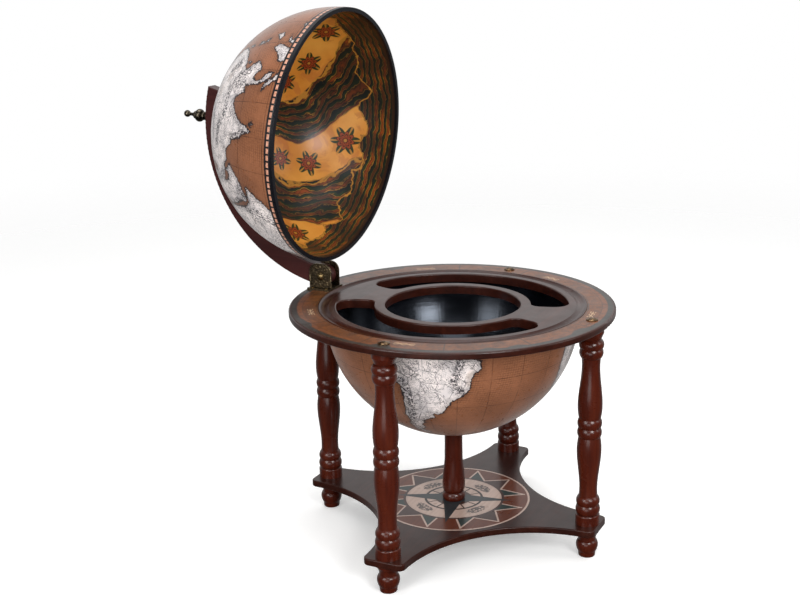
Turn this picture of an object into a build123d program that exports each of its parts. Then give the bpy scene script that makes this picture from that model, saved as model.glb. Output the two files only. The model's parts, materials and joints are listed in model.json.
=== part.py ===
from build123d import *
import os
from math import asin, cos, radians, sin, sqrt

# Tabletop globe bar, millimetres.
# Frame: origin on the floor under the centre of the table, +Z up, -Y to the front.
# The lid hinge is at the back (+Y), over the back leg. The lid is modelled closed
# and then turned back to its open stop, which is the rest pose.

# ---------------------------------------------------------------- driving sizes
GLOBE_R = 165.0            # outside radius of both halves of the globe
TABLE_MARGIN = 46.0        # how far the round table stands out beyond the globe
TABLE_TOP_Z = 319.0        # height of the table's upper face
TABLE_T = 9.0              # table board thickness
TABLE_EDGE_R = 2.4         # rounding of the table's outer edge
SHELF_T = 9.0              # lower shelf thickness
SHELF_TOP_Z = 45.8         # height of the shelf's upper face
LEG_INSET = 20.2           # from the table's edge to the leg axes
LEG_ANGLES = {"right": 0, "back": 90, "left": 180, "front": 270}
LID_OPEN_DEG = 86.0        # how far the lid swings back from closed

# clearances
FACE_GAP = 0.3             # between faces that pass or meet without a fit
GLUE_GAP = 0.15            # glue line behind a lining or a veneer
RUN_GAP = 0.05             # radial gap of a pin that turns in its hole
SCREW_GAP = 0.2            # radial gap round a screw that only passes through

# fasteners
BOLT_R = 3.0               # 6 mm bolts, studs and pins
WOOD_SCREW_R = 2.4
SMALL_SCREW_R = 1.4

# lower half of the globe
LOWER_CENTRE_DROP = 6.5    # sphere centre below the table's upper face
LOWER_SHELL_T = 4.0
LINER_T = 1.2

# drinks tray
TRAY_T = 11.5              # board thickness seen in the wells
TRAY_LINER_GAP = 2.05      # between the tray's body and the bowl's liner
TRAY_FLANGE_T = 5.8        # flange that rests in the table's rebate
WELL_R = 87.5              # central ice and bottle well
SLOT_WALL = 14.0           # wood between the well and the kidney shaped slots
SLOT_RIM = 7.1             # wood between the slots and the side of the tray's body
SLOT_HALF_DEG = 74.0
SLOT_OUTER_CORNER_R = 20.0
SLOT_INNER_CORNER_R = 13.0
SLOT_OUTER_CORNER_MOST = 0.55   # most of the slot's width that each corner takes
SLOT_INNER_CORNER_MOST = 0.4
WELL_EDGE_R = 1.8          # rounding of the wells' upper edges

# cove under the closed dome's rim: its inner half is cut in the tray, its outer half is the bead
COVE_LAND = 2.5            # level wood between the side of the tray's body and the cove
COVE_DEPTH = 2.6
BEAD_CLEAR = 1.0           # between the closed dome and the bead
BEAD_W = 7.7
BEAD_SEAT = 0.6            # depth of the bead's seat below the cove
BEAD_CREST_H = 0.35        # crest above the table's upper face
BEAD_CREST_W = 1.3         # crest to outer side
BEAD_SIDE_H = 0.1          # top of the outer side above the table's upper face

# printed map band let into the table
BAND_MARGIN = 0.2          # wood between the band and the table's rounded edge
INLAY_T = 0.5

# shelf outline: a square with its corners at the legs and hollow sides
SHELF_EAR_REACH = 17.2     # from the leg axis to the blunt end of the ear
SHELF_EAR_CORNER_R = 9.0
EAR_CORNER_MOST = 0.9      # most of the ear's half width that a corner takes
SHELF_ARC_R = 172.0
SHELF_ARC_BEYOND = 9.2     # centre of the arcs beyond the leg circle, along both leg axes
SHELF_EDGE_R = 1.5
COMPASS_R = 102.5

# turned legs
LEG_R = 15.8               # swells and large beads
LEG_BEAD_R = 15.2          # small beads
LEG_NECK_R = 11.55         # thinnest place of a taper
LEG_THROAT_R = 12.05       # where a taper meets its beads
LEG_TAPER_R = 13.65        # half way along a taper
LEG_GROOVE_R = 14.0        # between two beads
LEG_NECK_SHARE = 0.145     # places along a taper, as shares of its height
LEG_TAPER_SHARE = 0.455
LEG_SWELL_SHARE = 0.79
LEG_DRUM_H = 13.7
LEG_BEAD_H = 12.6
LEG_COLLAR_H = 15.0
LEG_COLLAR_R = 15.4
LEG_COVE_R = 13.6          # in the cove under the collar
LEG_COVE_H = 8.0
LEG_SHOULDER_H = 3.0
STUD_DEPTH = 26.0
INSERT_R = 5.0
INSERT_H = 14.0

# turned feet
FOOT_TOP_R = 15.0
FOOT_TOP_H = 3.0
FOOT_NECK_R = 11.6
FOOT_COVE_R = 12.0
FOOT_BULB_R = 14.3
FOOT_SHOULDER_DROP = 0.95  # how far the bulb falls away at its shoulders
FOOT_SHOULDER_H = 5.0
FOOT_WAIST_R = 11.4
FOOT_TIP_R = 11.0
FOOT_EDGE_R = 1.6
FOOT_COVE_Z = 28.5
FOOT_NECK_Z = 23.0
FOOT_BULB_Z = 15.6
FOOT_WAIST_Z = 6.6
FOOT_STUD_DEPTH = 20.0

# centre post
POST_R = 11.9
POST_TAPER_R = 12.1
POST_MID_R = 13.2
POST_SWELL_R = 15.2
POST_SHOULDER_R = 14.5
POST_GROOVE_R = 13.0
POST_BASE_R = 14.3
POST_BASE_SWELL = 1.1
POST_BASE_H = 10.6
POST_SHOULDER_H = 14.2
POST_SWELL_H = 23.5
POST_MID_H = 46.5
POST_TAPER_H = 66.0
POST_TAPER_END = 10.0
POST_SCREW_DEPTH = 40.0
SCREW_HEAD_R = 5.5
SCREW_HEAD_H = 3.6
WASHER_R = 10.0
WASHER_T = 1.4

# table bolts with domed brass caps
CAP_R = 7.5
CAP_H = 3.0
TABLE_BOLT_DEPTH = 30.0    # below the table board

# lid arm
ARM_W = 18.0
ARM_H = 26.5               # depth of the arm's section, and its round end at the pin
ARM_PAST_POLE_DEG = 12.0
ARM_EDGE_R = 1.4

# hinge bracket
ARM_WEB_GAP = 1.55         # between the arm's round end and the bracket's web
CHEEK_T = 2.0
CHEEK_W = 33.5
CHEEK_ABOVE_PIN = 17.8
CHEEK_CORNER_R = 12.0
CHEEK_BORDER = 1.8
CHEEK_RECESS = 0.5
WEB_T = 3.0
FLANGE_W = 7.0
FLANGE_T = 2.2
STOP_LIP_T = 2.0
PIN_HEAD_R = 5.5
PIN_HEAD_H = 3.0
SMALL_HEAD_R = 2.8
SMALL_HEAD_H = 1.5
SMALL_SCREW_L = 6.5
FLANGE_SCREW_INSET = 5.75  # from the bracket's ends

# upper half of the globe
DOME_T = 4.4
RIM_H = 3.7                # black edging round the rim
RIM_T = 5.4
LINING_T = 0.6
HUB_R = 22.0
HUB_T = 7.0
PIVOT_WASHER_R = 9.0
PIVOT_WASHER_T = 1.2
PIVOT_HEAD_R = 6.5
PIVOT_HEAD_H = 4.5
SPACER_R = 7.0

# finial: radii, and heights above the arm's outer face
FINIAL_BASE_R = 7.6
FINIAL_EDGE_H = 1.0
FINIAL_FLARE_R = 6.1
FINIAL_FLARE_Z = 3.4
FINIAL_GROOVE_R = 4.5
FINIAL_GROOVE_Z = 5.4
FINIAL_RING_R = 5.7
FINIAL_RING_Z = 7.2
FINIAL_WAIST_R = 4.9
FINIAL_WAIST_Z = 9.0
FINIAL_BULB_LOW_R = 5.5
FINIAL_BULB_R = 8.8
FINIAL_BULB_Z = 14.4
FINIAL_BULB_H = 9.8
FINIAL_BULB_HIGH_R = 5.0
FINIAL_COLLAR_R = 5.5
FINIAL_COLLAR_Z = 21.0
FINIAL_COLLAR_TOP_R = 4.3
FINIAL_COLLAR_TOP_Z = 22.5
FINIAL_NECK_R = 2.5
FINIAL_NECK_Z = 25.5
FINIAL_BALL_R = 4.7
FINIAL_BALL_Z = 34.6
FINIAL_THREAD_DEPTH = 15.0

# ---------------------------------------------------------------- worked out
TABLE_R = GLOBE_R + TABLE_MARGIN
LEG_CIRCLE_R = TABLE_R - LEG_INSET         # radius of the circle the leg axes stand on
TABLE_UNDER_Z = TABLE_TOP_Z - TABLE_T
SHELF_UNDER_Z = SHELF_TOP_Z - SHELF_T
LOWER_Z = TABLE_TOP_Z - LOWER_CENTRE_DROP
LINER_OUT_R = GLOBE_R - LOWER_SHELL_T - GLUE_GAP
LINER_IN_R = LINER_OUT_R - LINER_T
TRAY_BODY_R = LINER_IN_R - TRAY_LINER_GAP
TABLE_BORE_R = TRAY_BODY_R + FACE_GAP
BEAD_INNER_R = GLOBE_R + BEAD_CLEAR
BEAD_OUTER_R = BEAD_INNER_R + BEAD_W
TRAY_FLANGE_R = BEAD_OUTER_R
COVE_R = TRAY_BODY_R + COVE_LAND
COVE_Z = TABLE_TOP_Z - COVE_DEPTH
BEAD_SEAT_Z = COVE_Z - BEAD_SEAT
SLOT_INNER_R = WELL_R + SLOT_WALL
SLOT_OUTER_R = TRAY_BODY_R - SLOT_RIM
REBATE_Z = TABLE_TOP_Z - TRAY_FLANGE_T
REBATE_R = TRAY_FLANGE_R + FACE_GAP
BAND_INNER_R = REBATE_R + FACE_GAP
BAND_OUTER_R = TABLE_R - TABLE_EDGE_R - BAND_MARGIN
SHELF_ARC_CENTRE = LEG_CIRCLE_R + SHELF_ARC_BEYOND
DOME_Z = TABLE_TOP_Z + FACE_GAP            # rim plane and sphere centre, lid closed
DOME_IN_R = GLOBE_R - DOME_T
LINING_OUT_R = DOME_IN_R - GLUE_GAP
LINING_IN_R = LINING_OUT_R - LINING_T
DOME_TOP_Z = DOME_Z + GLOBE_R
WEB_TOP_Z = TABLE_TOP_Z + WEB_T
PIN_Y = LEG_CIRCLE_R                       # the pin stands over the back leg
PIN_Z = WEB_TOP_Z + ARM_WEB_GAP + ARM_H / 2
CHEEK_H = PIN_Z + CHEEK_ABOVE_PIN - TABLE_TOP_Z
CHEEK_IN_X = ARM_W / 2 + FACE_GAP
CHEEK_OUT_X = CHEEK_IN_X + CHEEK_T
BRACKET_ENDS_Y = (PIN_Y - CHEEK_W / 2, PIN_Y + CHEEK_W / 2)
ARM_MID_R = sqrt(PIN_Y ** 2 + (PIN_Z - DOME_Z) ** 2)   # about the closed dome's centre
ARM_IN_R = ARM_MID_R - ARM_H / 2
ARM_OUT_R = ARM_MID_R + ARM_H / 2
ARM_TOP_Z = DOME_Z + ARM_OUT_R
BIG = 3 * TABLE_R                          # larger than any piece, for cutting
PIN_AXIS = Axis((0, PIN_Y, PIN_Z), (1, 0, 0))


# ---------------------------------------------------------------- helpers
def turned(*edges):
    """Solid of revolution about Z of a closed outline in the XZ plane."""
    return revolve(make_face(edges), Axis.Z)


def outline(*points):
    """Straight edges through (radius, height) points."""
    return [Line((a[0], 0, a[1]), (b[0], 0, b[1])) for a, b in zip(points, points[1:])]


def curve(*points):
    """Smooth curve through (radius, height) points."""
    return Spline(*[(r, 0, z) for r, z in points])


def bulge(low, mid, high):
    """Arc through three (radius, height) points."""
    return ThreePointArc(*[(r, 0, z) for r, z in (low, mid, high)])


def rod(radius, low, high, x=0.0, y=0.0):
    """Upright cylinder between two heights."""
    tall = Cylinder(radius, high - low, align=(Align.CENTER, Align.CENTER, Align.MIN))
    return Pos(x, y, low) * tall


def pipe(outer, inner, low, high, x=0.0, y=0.0):
    """Upright tube between two heights."""
    return rod(outer, low, high, x, y) - rod(inner, low, high, x, y)


def cross_rod(radius, x_low, x_high):
    """Cylinder along X on the hinge pin's axis."""
    lying = Rot(0, 90, 0) * rod(radius, x_low, x_high)
    return Pos(0, PIN_Y, PIN_Z) * lying


def block(x, y, z):
    """Box between pairs of limits."""
    size = [high - low for low, high in (x, y, z)]
    return Pos(x[0], y[0], z[0]) * Box(*size, align=Align.MIN)


def on_legs(radius):
    """Points of the circle of that radius, one at each leg's angle."""
    places = {}
    for name, angle in LEG_ANGLES.items():
        places[name] = (radius * cos(radians(angle)), radius * sin(radians(angle)))
    return places


def crown_arc(crown_r, crown_z, reach, drop):
    """Arc that is level at its crown and ends reach across and drop below it, or above it where negative."""
    radius = (reach ** 2 + drop ** 2) / (2 * drop)
    half = asin(reach / radius) / 2
    mid = (crown_r + radius * sin(half), crown_z - radius * (1 - cos(half)))
    return bulge((crown_r, crown_z), mid, (crown_r + reach, crown_z - drop))


def crown_side(out_r, out_z, in_r, in_z):
    """Quarter round from an upright side at out_r to a level one at in_z."""
    share = sin(radians(45))
    mid = (in_r + (out_r - in_r) * share, out_z + (in_z - out_z) * share)
    return bulge((out_r, out_z), mid, (in_r, in_z))


def domed_head(radius, height, base_z):
    """Low domed head that stands on base_z."""
    side = height / 3
    top = base_z + height
    return turned(
        *outline((0, top), (0, base_z), (radius, base_z), (radius, base_z + side)),
        crown_arc(0, top, radius, height - side),
    )


def from_axis(point):
    """Distance of a point from the Z axis."""
    return sqrt(point.X ** 2 + point.Y ** 2)


def is_flat(edge):
    """True for an edge that lies at one height."""
    box = edge.bounding_box()
    return box.max.Z - box.min.Z < FACE_GAP


def half_shell(outer, inner, centre_z, low, high, bore_r):
    """Part of a hollow sphere between two heights, with a bore on the axis."""
    ball = Pos(0, 0, centre_z) * (Sphere(outer) - Sphere(inner))
    slab = pipe(BIG, bore_r, low, high)
    return ball & slab


def swung_open(piece):
    """Turn a piece of the closed lid back to the open stop."""
    return piece.rotate(PIN_AXIS, -LID_OPEN_DEG)


LEGS = on_legs(LEG_CIRCLE_R)


# ---------------------------------------------------------------- table top
def ring_board():
    band_z = TABLE_TOP_Z - INLAY_T
    board = turned(*outline((TABLE_BORE_R, REBATE_Z), (TABLE_BORE_R, TABLE_UNDER_Z), (TABLE_R, TABLE_UNDER_Z),
                            (TABLE_R, TABLE_TOP_Z), (BAND_OUTER_R, TABLE_TOP_Z), (BAND_OUTER_R, band_z),
                            (REBATE_R, band_z), (REBATE_R, REBATE_Z), (TABLE_BORE_R, REBATE_Z)))
    rim = board.edges().filter_by(lambda e: is_flat(e) and from_axis(e @ 0.5) > TABLE_R - FACE_GAP)
    board = fillet(rim, TABLE_EDGE_R)
    for x, y in LEGS.values():
        board -= rod(BOLT_R + SCREW_GAP, TABLE_UNDER_Z, TABLE_TOP_Z, x, y)
    for x, y in flange_screw_places():
        board -= rod(SMALL_SCREW_R, flange_screw_tip_z() - FACE_GAP, TABLE_TOP_Z, x, y)
    return board


def ring_map_band():
    band = pipe(BAND_OUTER_R - GLUE_GAP, BAND_INNER_R, TABLE_TOP_Z - INLAY_T, TABLE_TOP_Z)
    for x, y in LEGS.values():
        band -= rod(BOLT_R + SCREW_GAP, TABLE_UNDER_Z, TABLE_TOP_Z, x, y)
    for x, y in flange_screw_places():
        band -= rod(SMALL_SCREW_R + SCREW_GAP, TABLE_UNDER_Z, TABLE_TOP_Z, x, y)
    return band


def glass_slot():
    """Kidney shaped hole, centred on +X."""
    spread = radians(SLOT_HALF_DEG)
    corners = {}
    for radius in (SLOT_INNER_R, SLOT_OUTER_R):
        corners[radius] = [(radius * cos(spread), side * radius * sin(spread)) for side in (1, -1)]
    inner = ThreePointArc(corners[SLOT_INNER_R][0], (SLOT_INNER_R, 0), corners[SLOT_INNER_R][1])
    outer = ThreePointArc(corners[SLOT_OUTER_R][0], (SLOT_OUTER_R, 0), corners[SLOT_OUTER_R][1])
    ends = [Line(corners[SLOT_INNER_R][k], corners[SLOT_OUTER_R][k]) for k in (0, 1)]
    face = make_face([inner, ends[1], outer, ends[0]])
    middle_r = (SLOT_INNER_R + SLOT_OUTER_R) / 2
    slot_w = SLOT_OUTER_R - SLOT_INNER_R
    inner_corners = face.vertices().filter_by(lambda v: Vector(v).length < middle_r)
    face = fillet(inner_corners, min(SLOT_INNER_CORNER_R, SLOT_INNER_CORNER_MOST * slot_w))
    outer_corners = face.vertices().filter_by(lambda v: Vector(v).length > SLOT_OUTER_R - FACE_GAP)
    face = fillet(outer_corners, min(SLOT_OUTER_CORNER_R, SLOT_OUTER_CORNER_MOST * slot_w))
    return extrude(Pos(0, 0, TABLE_TOP_Z - BIG / 2) * face, BIG)


def drinks_tray():
    under = TABLE_TOP_Z - TRAY_T
    board = turned(*outline((COVE_R, TABLE_TOP_Z), (0, TABLE_TOP_Z), (0, under), (TRAY_BODY_R, under),
                            (TRAY_BODY_R, REBATE_Z), (TRAY_FLANGE_R, REBATE_Z), (TRAY_FLANGE_R, BEAD_SEAT_Z),
                            (BEAD_INNER_R, BEAD_SEAT_Z), (BEAD_INNER_R, COVE_Z)),
                   crown_arc(BEAD_INNER_R, COVE_Z, COVE_R - BEAD_INNER_R, -COVE_DEPTH))
    board -= rod(WELL_R, under, TABLE_TOP_Z)
    slot = glass_slot()
    board -= slot
    board -= Rot(0, 0, 180) * slot
    top_edges = board.edges().filter_by(lambda e: is_flat(e) and e.center().Z > TABLE_TOP_Z - FACE_GAP)
    well_edges = top_edges.filter_by(lambda e: from_axis(e @ 0.5) < SLOT_OUTER_R + FACE_GAP)
    return fillet(well_edges, WELL_EDGE_R)


def tray_bead():
    """Outer half of the cove, let into the tray's flange, with a low crest beside the table's face."""
    crest_r = BEAD_OUTER_R - BEAD_CREST_W
    crest_z = TABLE_TOP_Z + BEAD_CREST_H
    return turned(
        *outline((BEAD_INNER_R, COVE_Z), (BEAD_INNER_R, BEAD_SEAT_Z), (BEAD_OUTER_R, BEAD_SEAT_Z),
                 (BEAD_OUTER_R, TABLE_TOP_Z + BEAD_SIDE_H)),
        crown_arc(crest_r, crest_z, BEAD_CREST_W, BEAD_CREST_H - BEAD_SIDE_H),
        crown_arc(BEAD_INNER_R, COVE_Z, crest_r - BEAD_INNER_R, COVE_Z - crest_z),
    )


# ---------------------------------------------------------------- lower globe
def lower_globe_shell():
    bore_r = WOOD_SCREW_R + SCREW_GAP
    return half_shell(GLOBE_R, GLOBE_R - LOWER_SHELL_T, LOWER_Z, 0, TABLE_UNDER_Z, bore_r)


def bowl_liner():
    bore_r = WOOD_SCREW_R + SCREW_GAP
    return half_shell(LINER_OUT_R, LINER_IN_R, LOWER_Z, 0, TABLE_UNDER_Z - GLUE_GAP, bore_r)


# ---------------------------------------------------------------- shelf
def ear_half_w():
    reach = LEG_CIRCLE_R + SHELF_EAR_REACH
    return SHELF_ARC_CENTRE - sqrt(SHELF_ARC_R ** 2 - (reach - SHELF_ARC_CENTRE) ** 2)


def shelf_outline():
    """Face of the shelf: a blunt ear at each leg, hollow arcs between them."""
    reach = LEG_CIRCLE_R + SHELF_EAR_REACH
    half_ear = ear_half_w()
    middle = SHELF_ARC_CENTRE - SHELF_ARC_R * cos(radians(45))
    edges = []
    for angle in LEG_ANGLES.values():
        turn = Rot(0, 0, angle)
        edges.append(turn * Line((reach, -half_ear), (reach, half_ear)))
        edges.append(turn * ThreePointArc((reach, half_ear), (middle, middle), (half_ear, reach)))
    return make_face(edges)


def shelf_board():
    face = shelf_outline()
    ends = face.vertices().filter_by(lambda v: Vector(v).length > LEG_CIRCLE_R)
    face = fillet(ends, min(SHELF_EAR_CORNER_R, EAR_CORNER_MOST * ear_half_w()))
    board = extrude(Pos(0, 0, SHELF_UNDER_Z) * face, SHELF_T)
    board = fillet(board.edges().filter_by(is_flat), SHELF_EDGE_R)
    board -= rod(COMPASS_R + GLUE_GAP, SHELF_TOP_Z - INLAY_T, SHELF_TOP_Z)
    for x, y in LEGS.values():
        board -= rod(BOLT_R + SCREW_GAP, SHELF_UNDER_Z, SHELF_TOP_Z, x, y)
    board -= rod(WOOD_SCREW_R + SCREW_GAP, SHELF_UNDER_Z, SHELF_TOP_Z)
    return board - rod(SCREW_HEAD_R + SCREW_GAP, SHELF_UNDER_Z, SHELF_UNDER_Z + SCREW_HEAD_H)


def compass_inlay():
    return pipe(COMPASS_R, POST_BASE_R + GLUE_GAP, SHELF_TOP_Z - INLAY_T, SHELF_TOP_Z)


# ---------------------------------------------------------------- turned wood
def leg_taper(throat_z, swell_z):
    """Long curve from a throat to a swell, in either direction."""
    span = swell_z - throat_z
    return curve((LEG_THROAT_R, throat_z), (LEG_NECK_R, throat_z + LEG_NECK_SHARE * span),
                 (LEG_TAPER_R, throat_z + LEG_TAPER_SHARE * span), (LEG_R, throat_z + LEG_SWELL_SHARE * span),
                 (LEG_GROOVE_R, swell_z))


def bead_pair(low_z, low_r, high_r, crowns):
    """Two beads, one on the other, with a groove between them."""
    groove_z = low_z + LEG_BEAD_H
    half = LEG_BEAD_H / 2
    return [
        bulge((low_r, low_z), (crowns[0], groove_z - half), (LEG_GROOVE_R, groove_z)),
        bulge((LEG_GROOVE_R, groove_z), (crowns[1], groove_z + half), (high_r, groove_z + LEG_BEAD_H)),
    ]


def leg():
    """Turned leg from the shelf to the table, with its axis on Z."""
    base = SHELF_TOP_Z
    top = TABLE_UNDER_Z
    shoulder_z = base + LEG_DRUM_H - LEG_SHOULDER_H
    low_z = base + LEG_DRUM_H
    collar_z = top - LEG_COLLAR_H
    high_z = collar_z - 2 * LEG_BEAD_H
    mid_z = (low_z + collar_z) / 2 - LEG_BEAD_H
    edges = outline((0, base), (LEG_R, base), (LEG_R, shoulder_z))
    edges.append(crown_side(LEG_R, shoulder_z, LEG_GROOVE_R, low_z))
    edges += bead_pair(low_z, LEG_GROOVE_R, LEG_THROAT_R, (LEG_R, LEG_BEAD_R))
    edges.append(leg_taper(low_z + 2 * LEG_BEAD_H, mid_z))
    edges += bead_pair(mid_z, LEG_GROOVE_R, LEG_GROOVE_R, (LEG_R, LEG_R))
    edges.append(leg_taper(high_z, mid_z + 2 * LEG_BEAD_H))
    edges += bead_pair(high_z, LEG_THROAT_R, LEG_THROAT_R, (LEG_BEAD_R, LEG_R))
    edges.append(curve((LEG_THROAT_R, collar_z), (LEG_COVE_R, collar_z + LEG_COVE_H / 2),
                       (LEG_COLLAR_R, collar_z + LEG_COVE_H)))
    edges += outline((LEG_COLLAR_R, collar_z + LEG_COVE_H), (LEG_COLLAR_R, top), (0, top), (0, base))
    body = turned(*edges)
    body -= rod(BOLT_R + RUN_GAP, base, base + STUD_DEPTH + FACE_GAP)
    body -= rod(BOLT_R + SCREW_GAP, top - TABLE_BOLT_DEPTH - FACE_GAP, top)
    return body - rod(INSERT_R + RUN_GAP, top - INSERT_H - FACE_GAP, top)


def foot():
    """Turned foot under the shelf, with its axis on Z."""
    top = SHELF_UNDER_Z
    shoulder_r = FOOT_BULB_R - FOOT_SHOULDER_DROP
    body = turned(
        *outline((0, top), (0, 0), (FOOT_TIP_R - FOOT_EDGE_R, 0)),
        crown_side(FOOT_TIP_R, FOOT_EDGE_R, FOOT_TIP_R - FOOT_EDGE_R, 0),
        *outline((FOOT_TIP_R, FOOT_EDGE_R), (FOOT_WAIST_R, FOOT_WAIST_Z)),
        curve((FOOT_WAIST_R, FOOT_WAIST_Z), (shoulder_r, FOOT_BULB_Z - FOOT_SHOULDER_H),
              (FOOT_BULB_R, FOOT_BULB_Z), (shoulder_r, FOOT_BULB_Z + FOOT_SHOULDER_H),
              (FOOT_NECK_R, FOOT_NECK_Z)),
        curve((FOOT_NECK_R, FOOT_NECK_Z), (FOOT_COVE_R, FOOT_COVE_Z), (FOOT_TOP_R, top - FOOT_TOP_H)),
        *outline((FOOT_TOP_R, top - FOOT_TOP_H), (FOOT_TOP_R, top), (0, top)),
    )
    return body - rod(BOLT_R + RUN_GAP, top - FOOT_STUD_DEPTH - FACE_GAP, top)


def globe_screw_tip_z():
    return LOWER_Z - GLOBE_R - POST_SCREW_DEPTH + LOWER_SHELL_T


def shelf_screw_tip_z():
    return SHELF_TOP_Z + POST_SCREW_DEPTH - SHELF_T


def centre_post():
    """Turned post from the shelf to the underside of the lower globe."""
    base = SHELF_TOP_Z
    top = LOWER_Z
    groove_z = base + POST_BASE_H
    taper_z = base + POST_TAPER_H
    body = turned(
        *outline((0, top), (0, base), (POST_BASE_R, base)),
        bulge((POST_BASE_R, base), (POST_BASE_R + POST_BASE_SWELL, base + POST_BASE_H / 2),
              (POST_GROOVE_R, groove_z)),
        curve((POST_GROOVE_R, groove_z), (POST_SHOULDER_R, base + POST_SHOULDER_H),
              (POST_SWELL_R, base + POST_SWELL_H), (POST_MID_R, base + POST_MID_H), (POST_TAPER_R, taper_z)),
        *outline((POST_TAPER_R, taper_z), (POST_R, taper_z + POST_TAPER_END), (POST_R, top), (0, top)),
    )
    body -= Pos(0, 0, LOWER_Z) * Sphere(GLOBE_R + FACE_GAP)
    body -= rod(WOOD_SCREW_R, globe_screw_tip_z(), LOWER_Z)
    return body - rod(WOOD_SCREW_R, base, shelf_screw_tip_z())


# ---------------------------------------------------------------- base fasteners
def leg_studs():
    """Double-ended studs that hold leg, shelf and foot together."""
    low = SHELF_UNDER_Z - FOOT_STUD_DEPTH
    return [rod(BOLT_R, low, SHELF_TOP_Z + STUD_DEPTH, x, y) for x, y in LEGS.values()]


def leg_inserts():
    """Threaded sleeves in the tops of the legs."""
    low = TABLE_UNDER_Z - INSERT_H
    return [pipe(INSERT_R, BOLT_R + RUN_GAP, low, TABLE_UNDER_Z - GLUE_GAP, x, y) for x, y in LEGS.values()]


def table_bolts():
    """Bolts with domed caps through the table into the legs without a hinge."""
    bolts = []
    for name, (x, y) in LEGS.items():
        if name != "back":
            shank = rod(BOLT_R, TABLE_UNDER_Z - TABLE_BOLT_DEPTH, TABLE_TOP_Z)
            bolts.append(Pos(x, y, 0) * (shank + domed_head(CAP_R, CAP_H, TABLE_TOP_Z)))
    return bolts


def washer_seat_z():
    return LOWER_Z - sqrt(LINER_IN_R ** 2 - WASHER_R ** 2) + RUN_GAP


def post_washer():
    return pipe(WASHER_R, WOOD_SCREW_R + SCREW_GAP, washer_seat_z(), washer_seat_z() + WASHER_T)


def post_top_screw():
    seat = washer_seat_z() + WASHER_T
    shank = rod(WOOD_SCREW_R, globe_screw_tip_z() + FACE_GAP, seat)
    return shank + domed_head(SCREW_HEAD_R, SCREW_HEAD_H, seat)


def post_bottom_screw():
    """Screw up through the shelf, its head sunk in the underside."""
    neck_z = SHELF_UNDER_Z + SCREW_HEAD_H
    head = rod(SCREW_HEAD_R, SHELF_UNDER_Z + FACE_GAP, neck_z)
    return head + rod(WOOD_SCREW_R, neck_z, shelf_screw_tip_z() - FACE_GAP)


# ---------------------------------------------------------------- hinge
def flange_screw_places():
    across = CHEEK_OUT_X + FLANGE_W / 2
    rows = (BRACKET_ENDS_Y[0] + FLANGE_SCREW_INSET, BRACKET_ENDS_Y[1] - FLANGE_SCREW_INSET)
    return [(side * across, y) for side in (-1, 1) for y in rows]


def flange_screw_tip_z():
    return TABLE_TOP_Z + FLANGE_T - SMALL_SCREW_L


def cheek_plate(thickness, inset, foot_z):
    """Arched plate that stands on foot_z, its near face on X = 0."""
    width = CHEEK_W - 2 * inset
    top_z = TABLE_TOP_Z + CHEEK_H - inset
    face = Pos(0, top_z - (top_z - foot_z) / 2) * Rectangle(width, top_z - foot_z)
    face = fillet(face.vertices().filter_by(lambda v: v.Y > PIN_Z), CHEEK_CORNER_R - inset)
    return Pos(0, PIN_Y, 0) * (Plane.YZ * extrude(face, thickness))


def countersunk(shank_r, head_r):
    """Cone down from the web's upper face, over the back leg."""
    x, y = LEGS["back"]
    return Pos(x, y, WEB_TOP_Z) * Cone(shank_r, head_r, WEB_T, align=(Align.CENTER, Align.CENTER, Align.MAX))


def hinge_bolt():
    """Countersunk bolt through the bracket and the table into the back leg."""
    x, y = LEGS["back"]
    return rod(BOLT_R, TABLE_UNDER_Z - TABLE_BOLT_DEPTH, WEB_TOP_Z, x, y) + countersunk(BOLT_R, SCREW_HEAD_R)


def stop_lip():
    """Lip across the bracket's back end, hollowed to fit the arm at its open stop."""
    back_y = BRACKET_ENDS_Y[1]
    lip = block((-CHEEK_IN_X, CHEEK_IN_X), (back_y - STOP_LIP_T, back_y), (WEB_TOP_Z, PIN_Z))
    closed_arm = Pos(-CHEEK_OUT_X, 0, DOME_Z) * Rot(0, 90, 0) * Cylinder(
        ARM_OUT_R + FACE_GAP, 2 * CHEEK_OUT_X, align=(Align.CENTER, Align.CENTER, Align.MIN))
    return lip - swung_open(closed_arm)


def hinge_bracket():
    """Pressed channel: web on the table, two cheeks, screw flanges and a stop lip."""
    flange_x = CHEEK_OUT_X + FLANGE_W
    recess_x = CHEEK_OUT_X - CHEEK_RECESS
    body = block((-CHEEK_OUT_X, CHEEK_OUT_X), BRACKET_ENDS_Y, (TABLE_TOP_Z, WEB_TOP_Z))
    body += block((-flange_x, flange_x), BRACKET_ENDS_Y, (TABLE_TOP_Z, TABLE_TOP_Z + FLANGE_T))
    body += stop_lip()
    plate = cheek_plate(CHEEK_T, 0, TABLE_TOP_Z)
    field = cheek_plate(CHEEK_RECESS, CHEEK_BORDER, TABLE_TOP_Z + FLANGE_T + CHEEK_BORDER)
    body += Pos(CHEEK_IN_X, 0, 0) * plate
    body += Pos(-CHEEK_OUT_X, 0, 0) * plate
    body -= Pos(recess_x, 0, 0) * field
    body -= Pos(-CHEEK_OUT_X, 0, 0) * field
    body -= cross_rod(BOLT_R + RUN_GAP, -flange_x, flange_x)
    x, y = LEGS["back"]
    body -= rod(BOLT_R + SCREW_GAP, TABLE_TOP_Z, WEB_TOP_Z, x, y)
    body -= countersunk(BOLT_R + SCREW_GAP, SCREW_HEAD_R + SCREW_GAP)
    for sx, sy in flange_screw_places():
        body -= rod(SMALL_SCREW_R + SCREW_GAP, TABLE_TOP_Z, WEB_TOP_Z, sx, sy)
    return body


def hinge_screws():
    top = TABLE_TOP_Z + FLANGE_T
    screw = rod(SMALL_SCREW_R, flange_screw_tip_z(), top) + domed_head(SMALL_HEAD_R, SMALL_HEAD_H, top)
    return [Pos(x, y, 0) * screw for x, y in flange_screw_places()]


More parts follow.
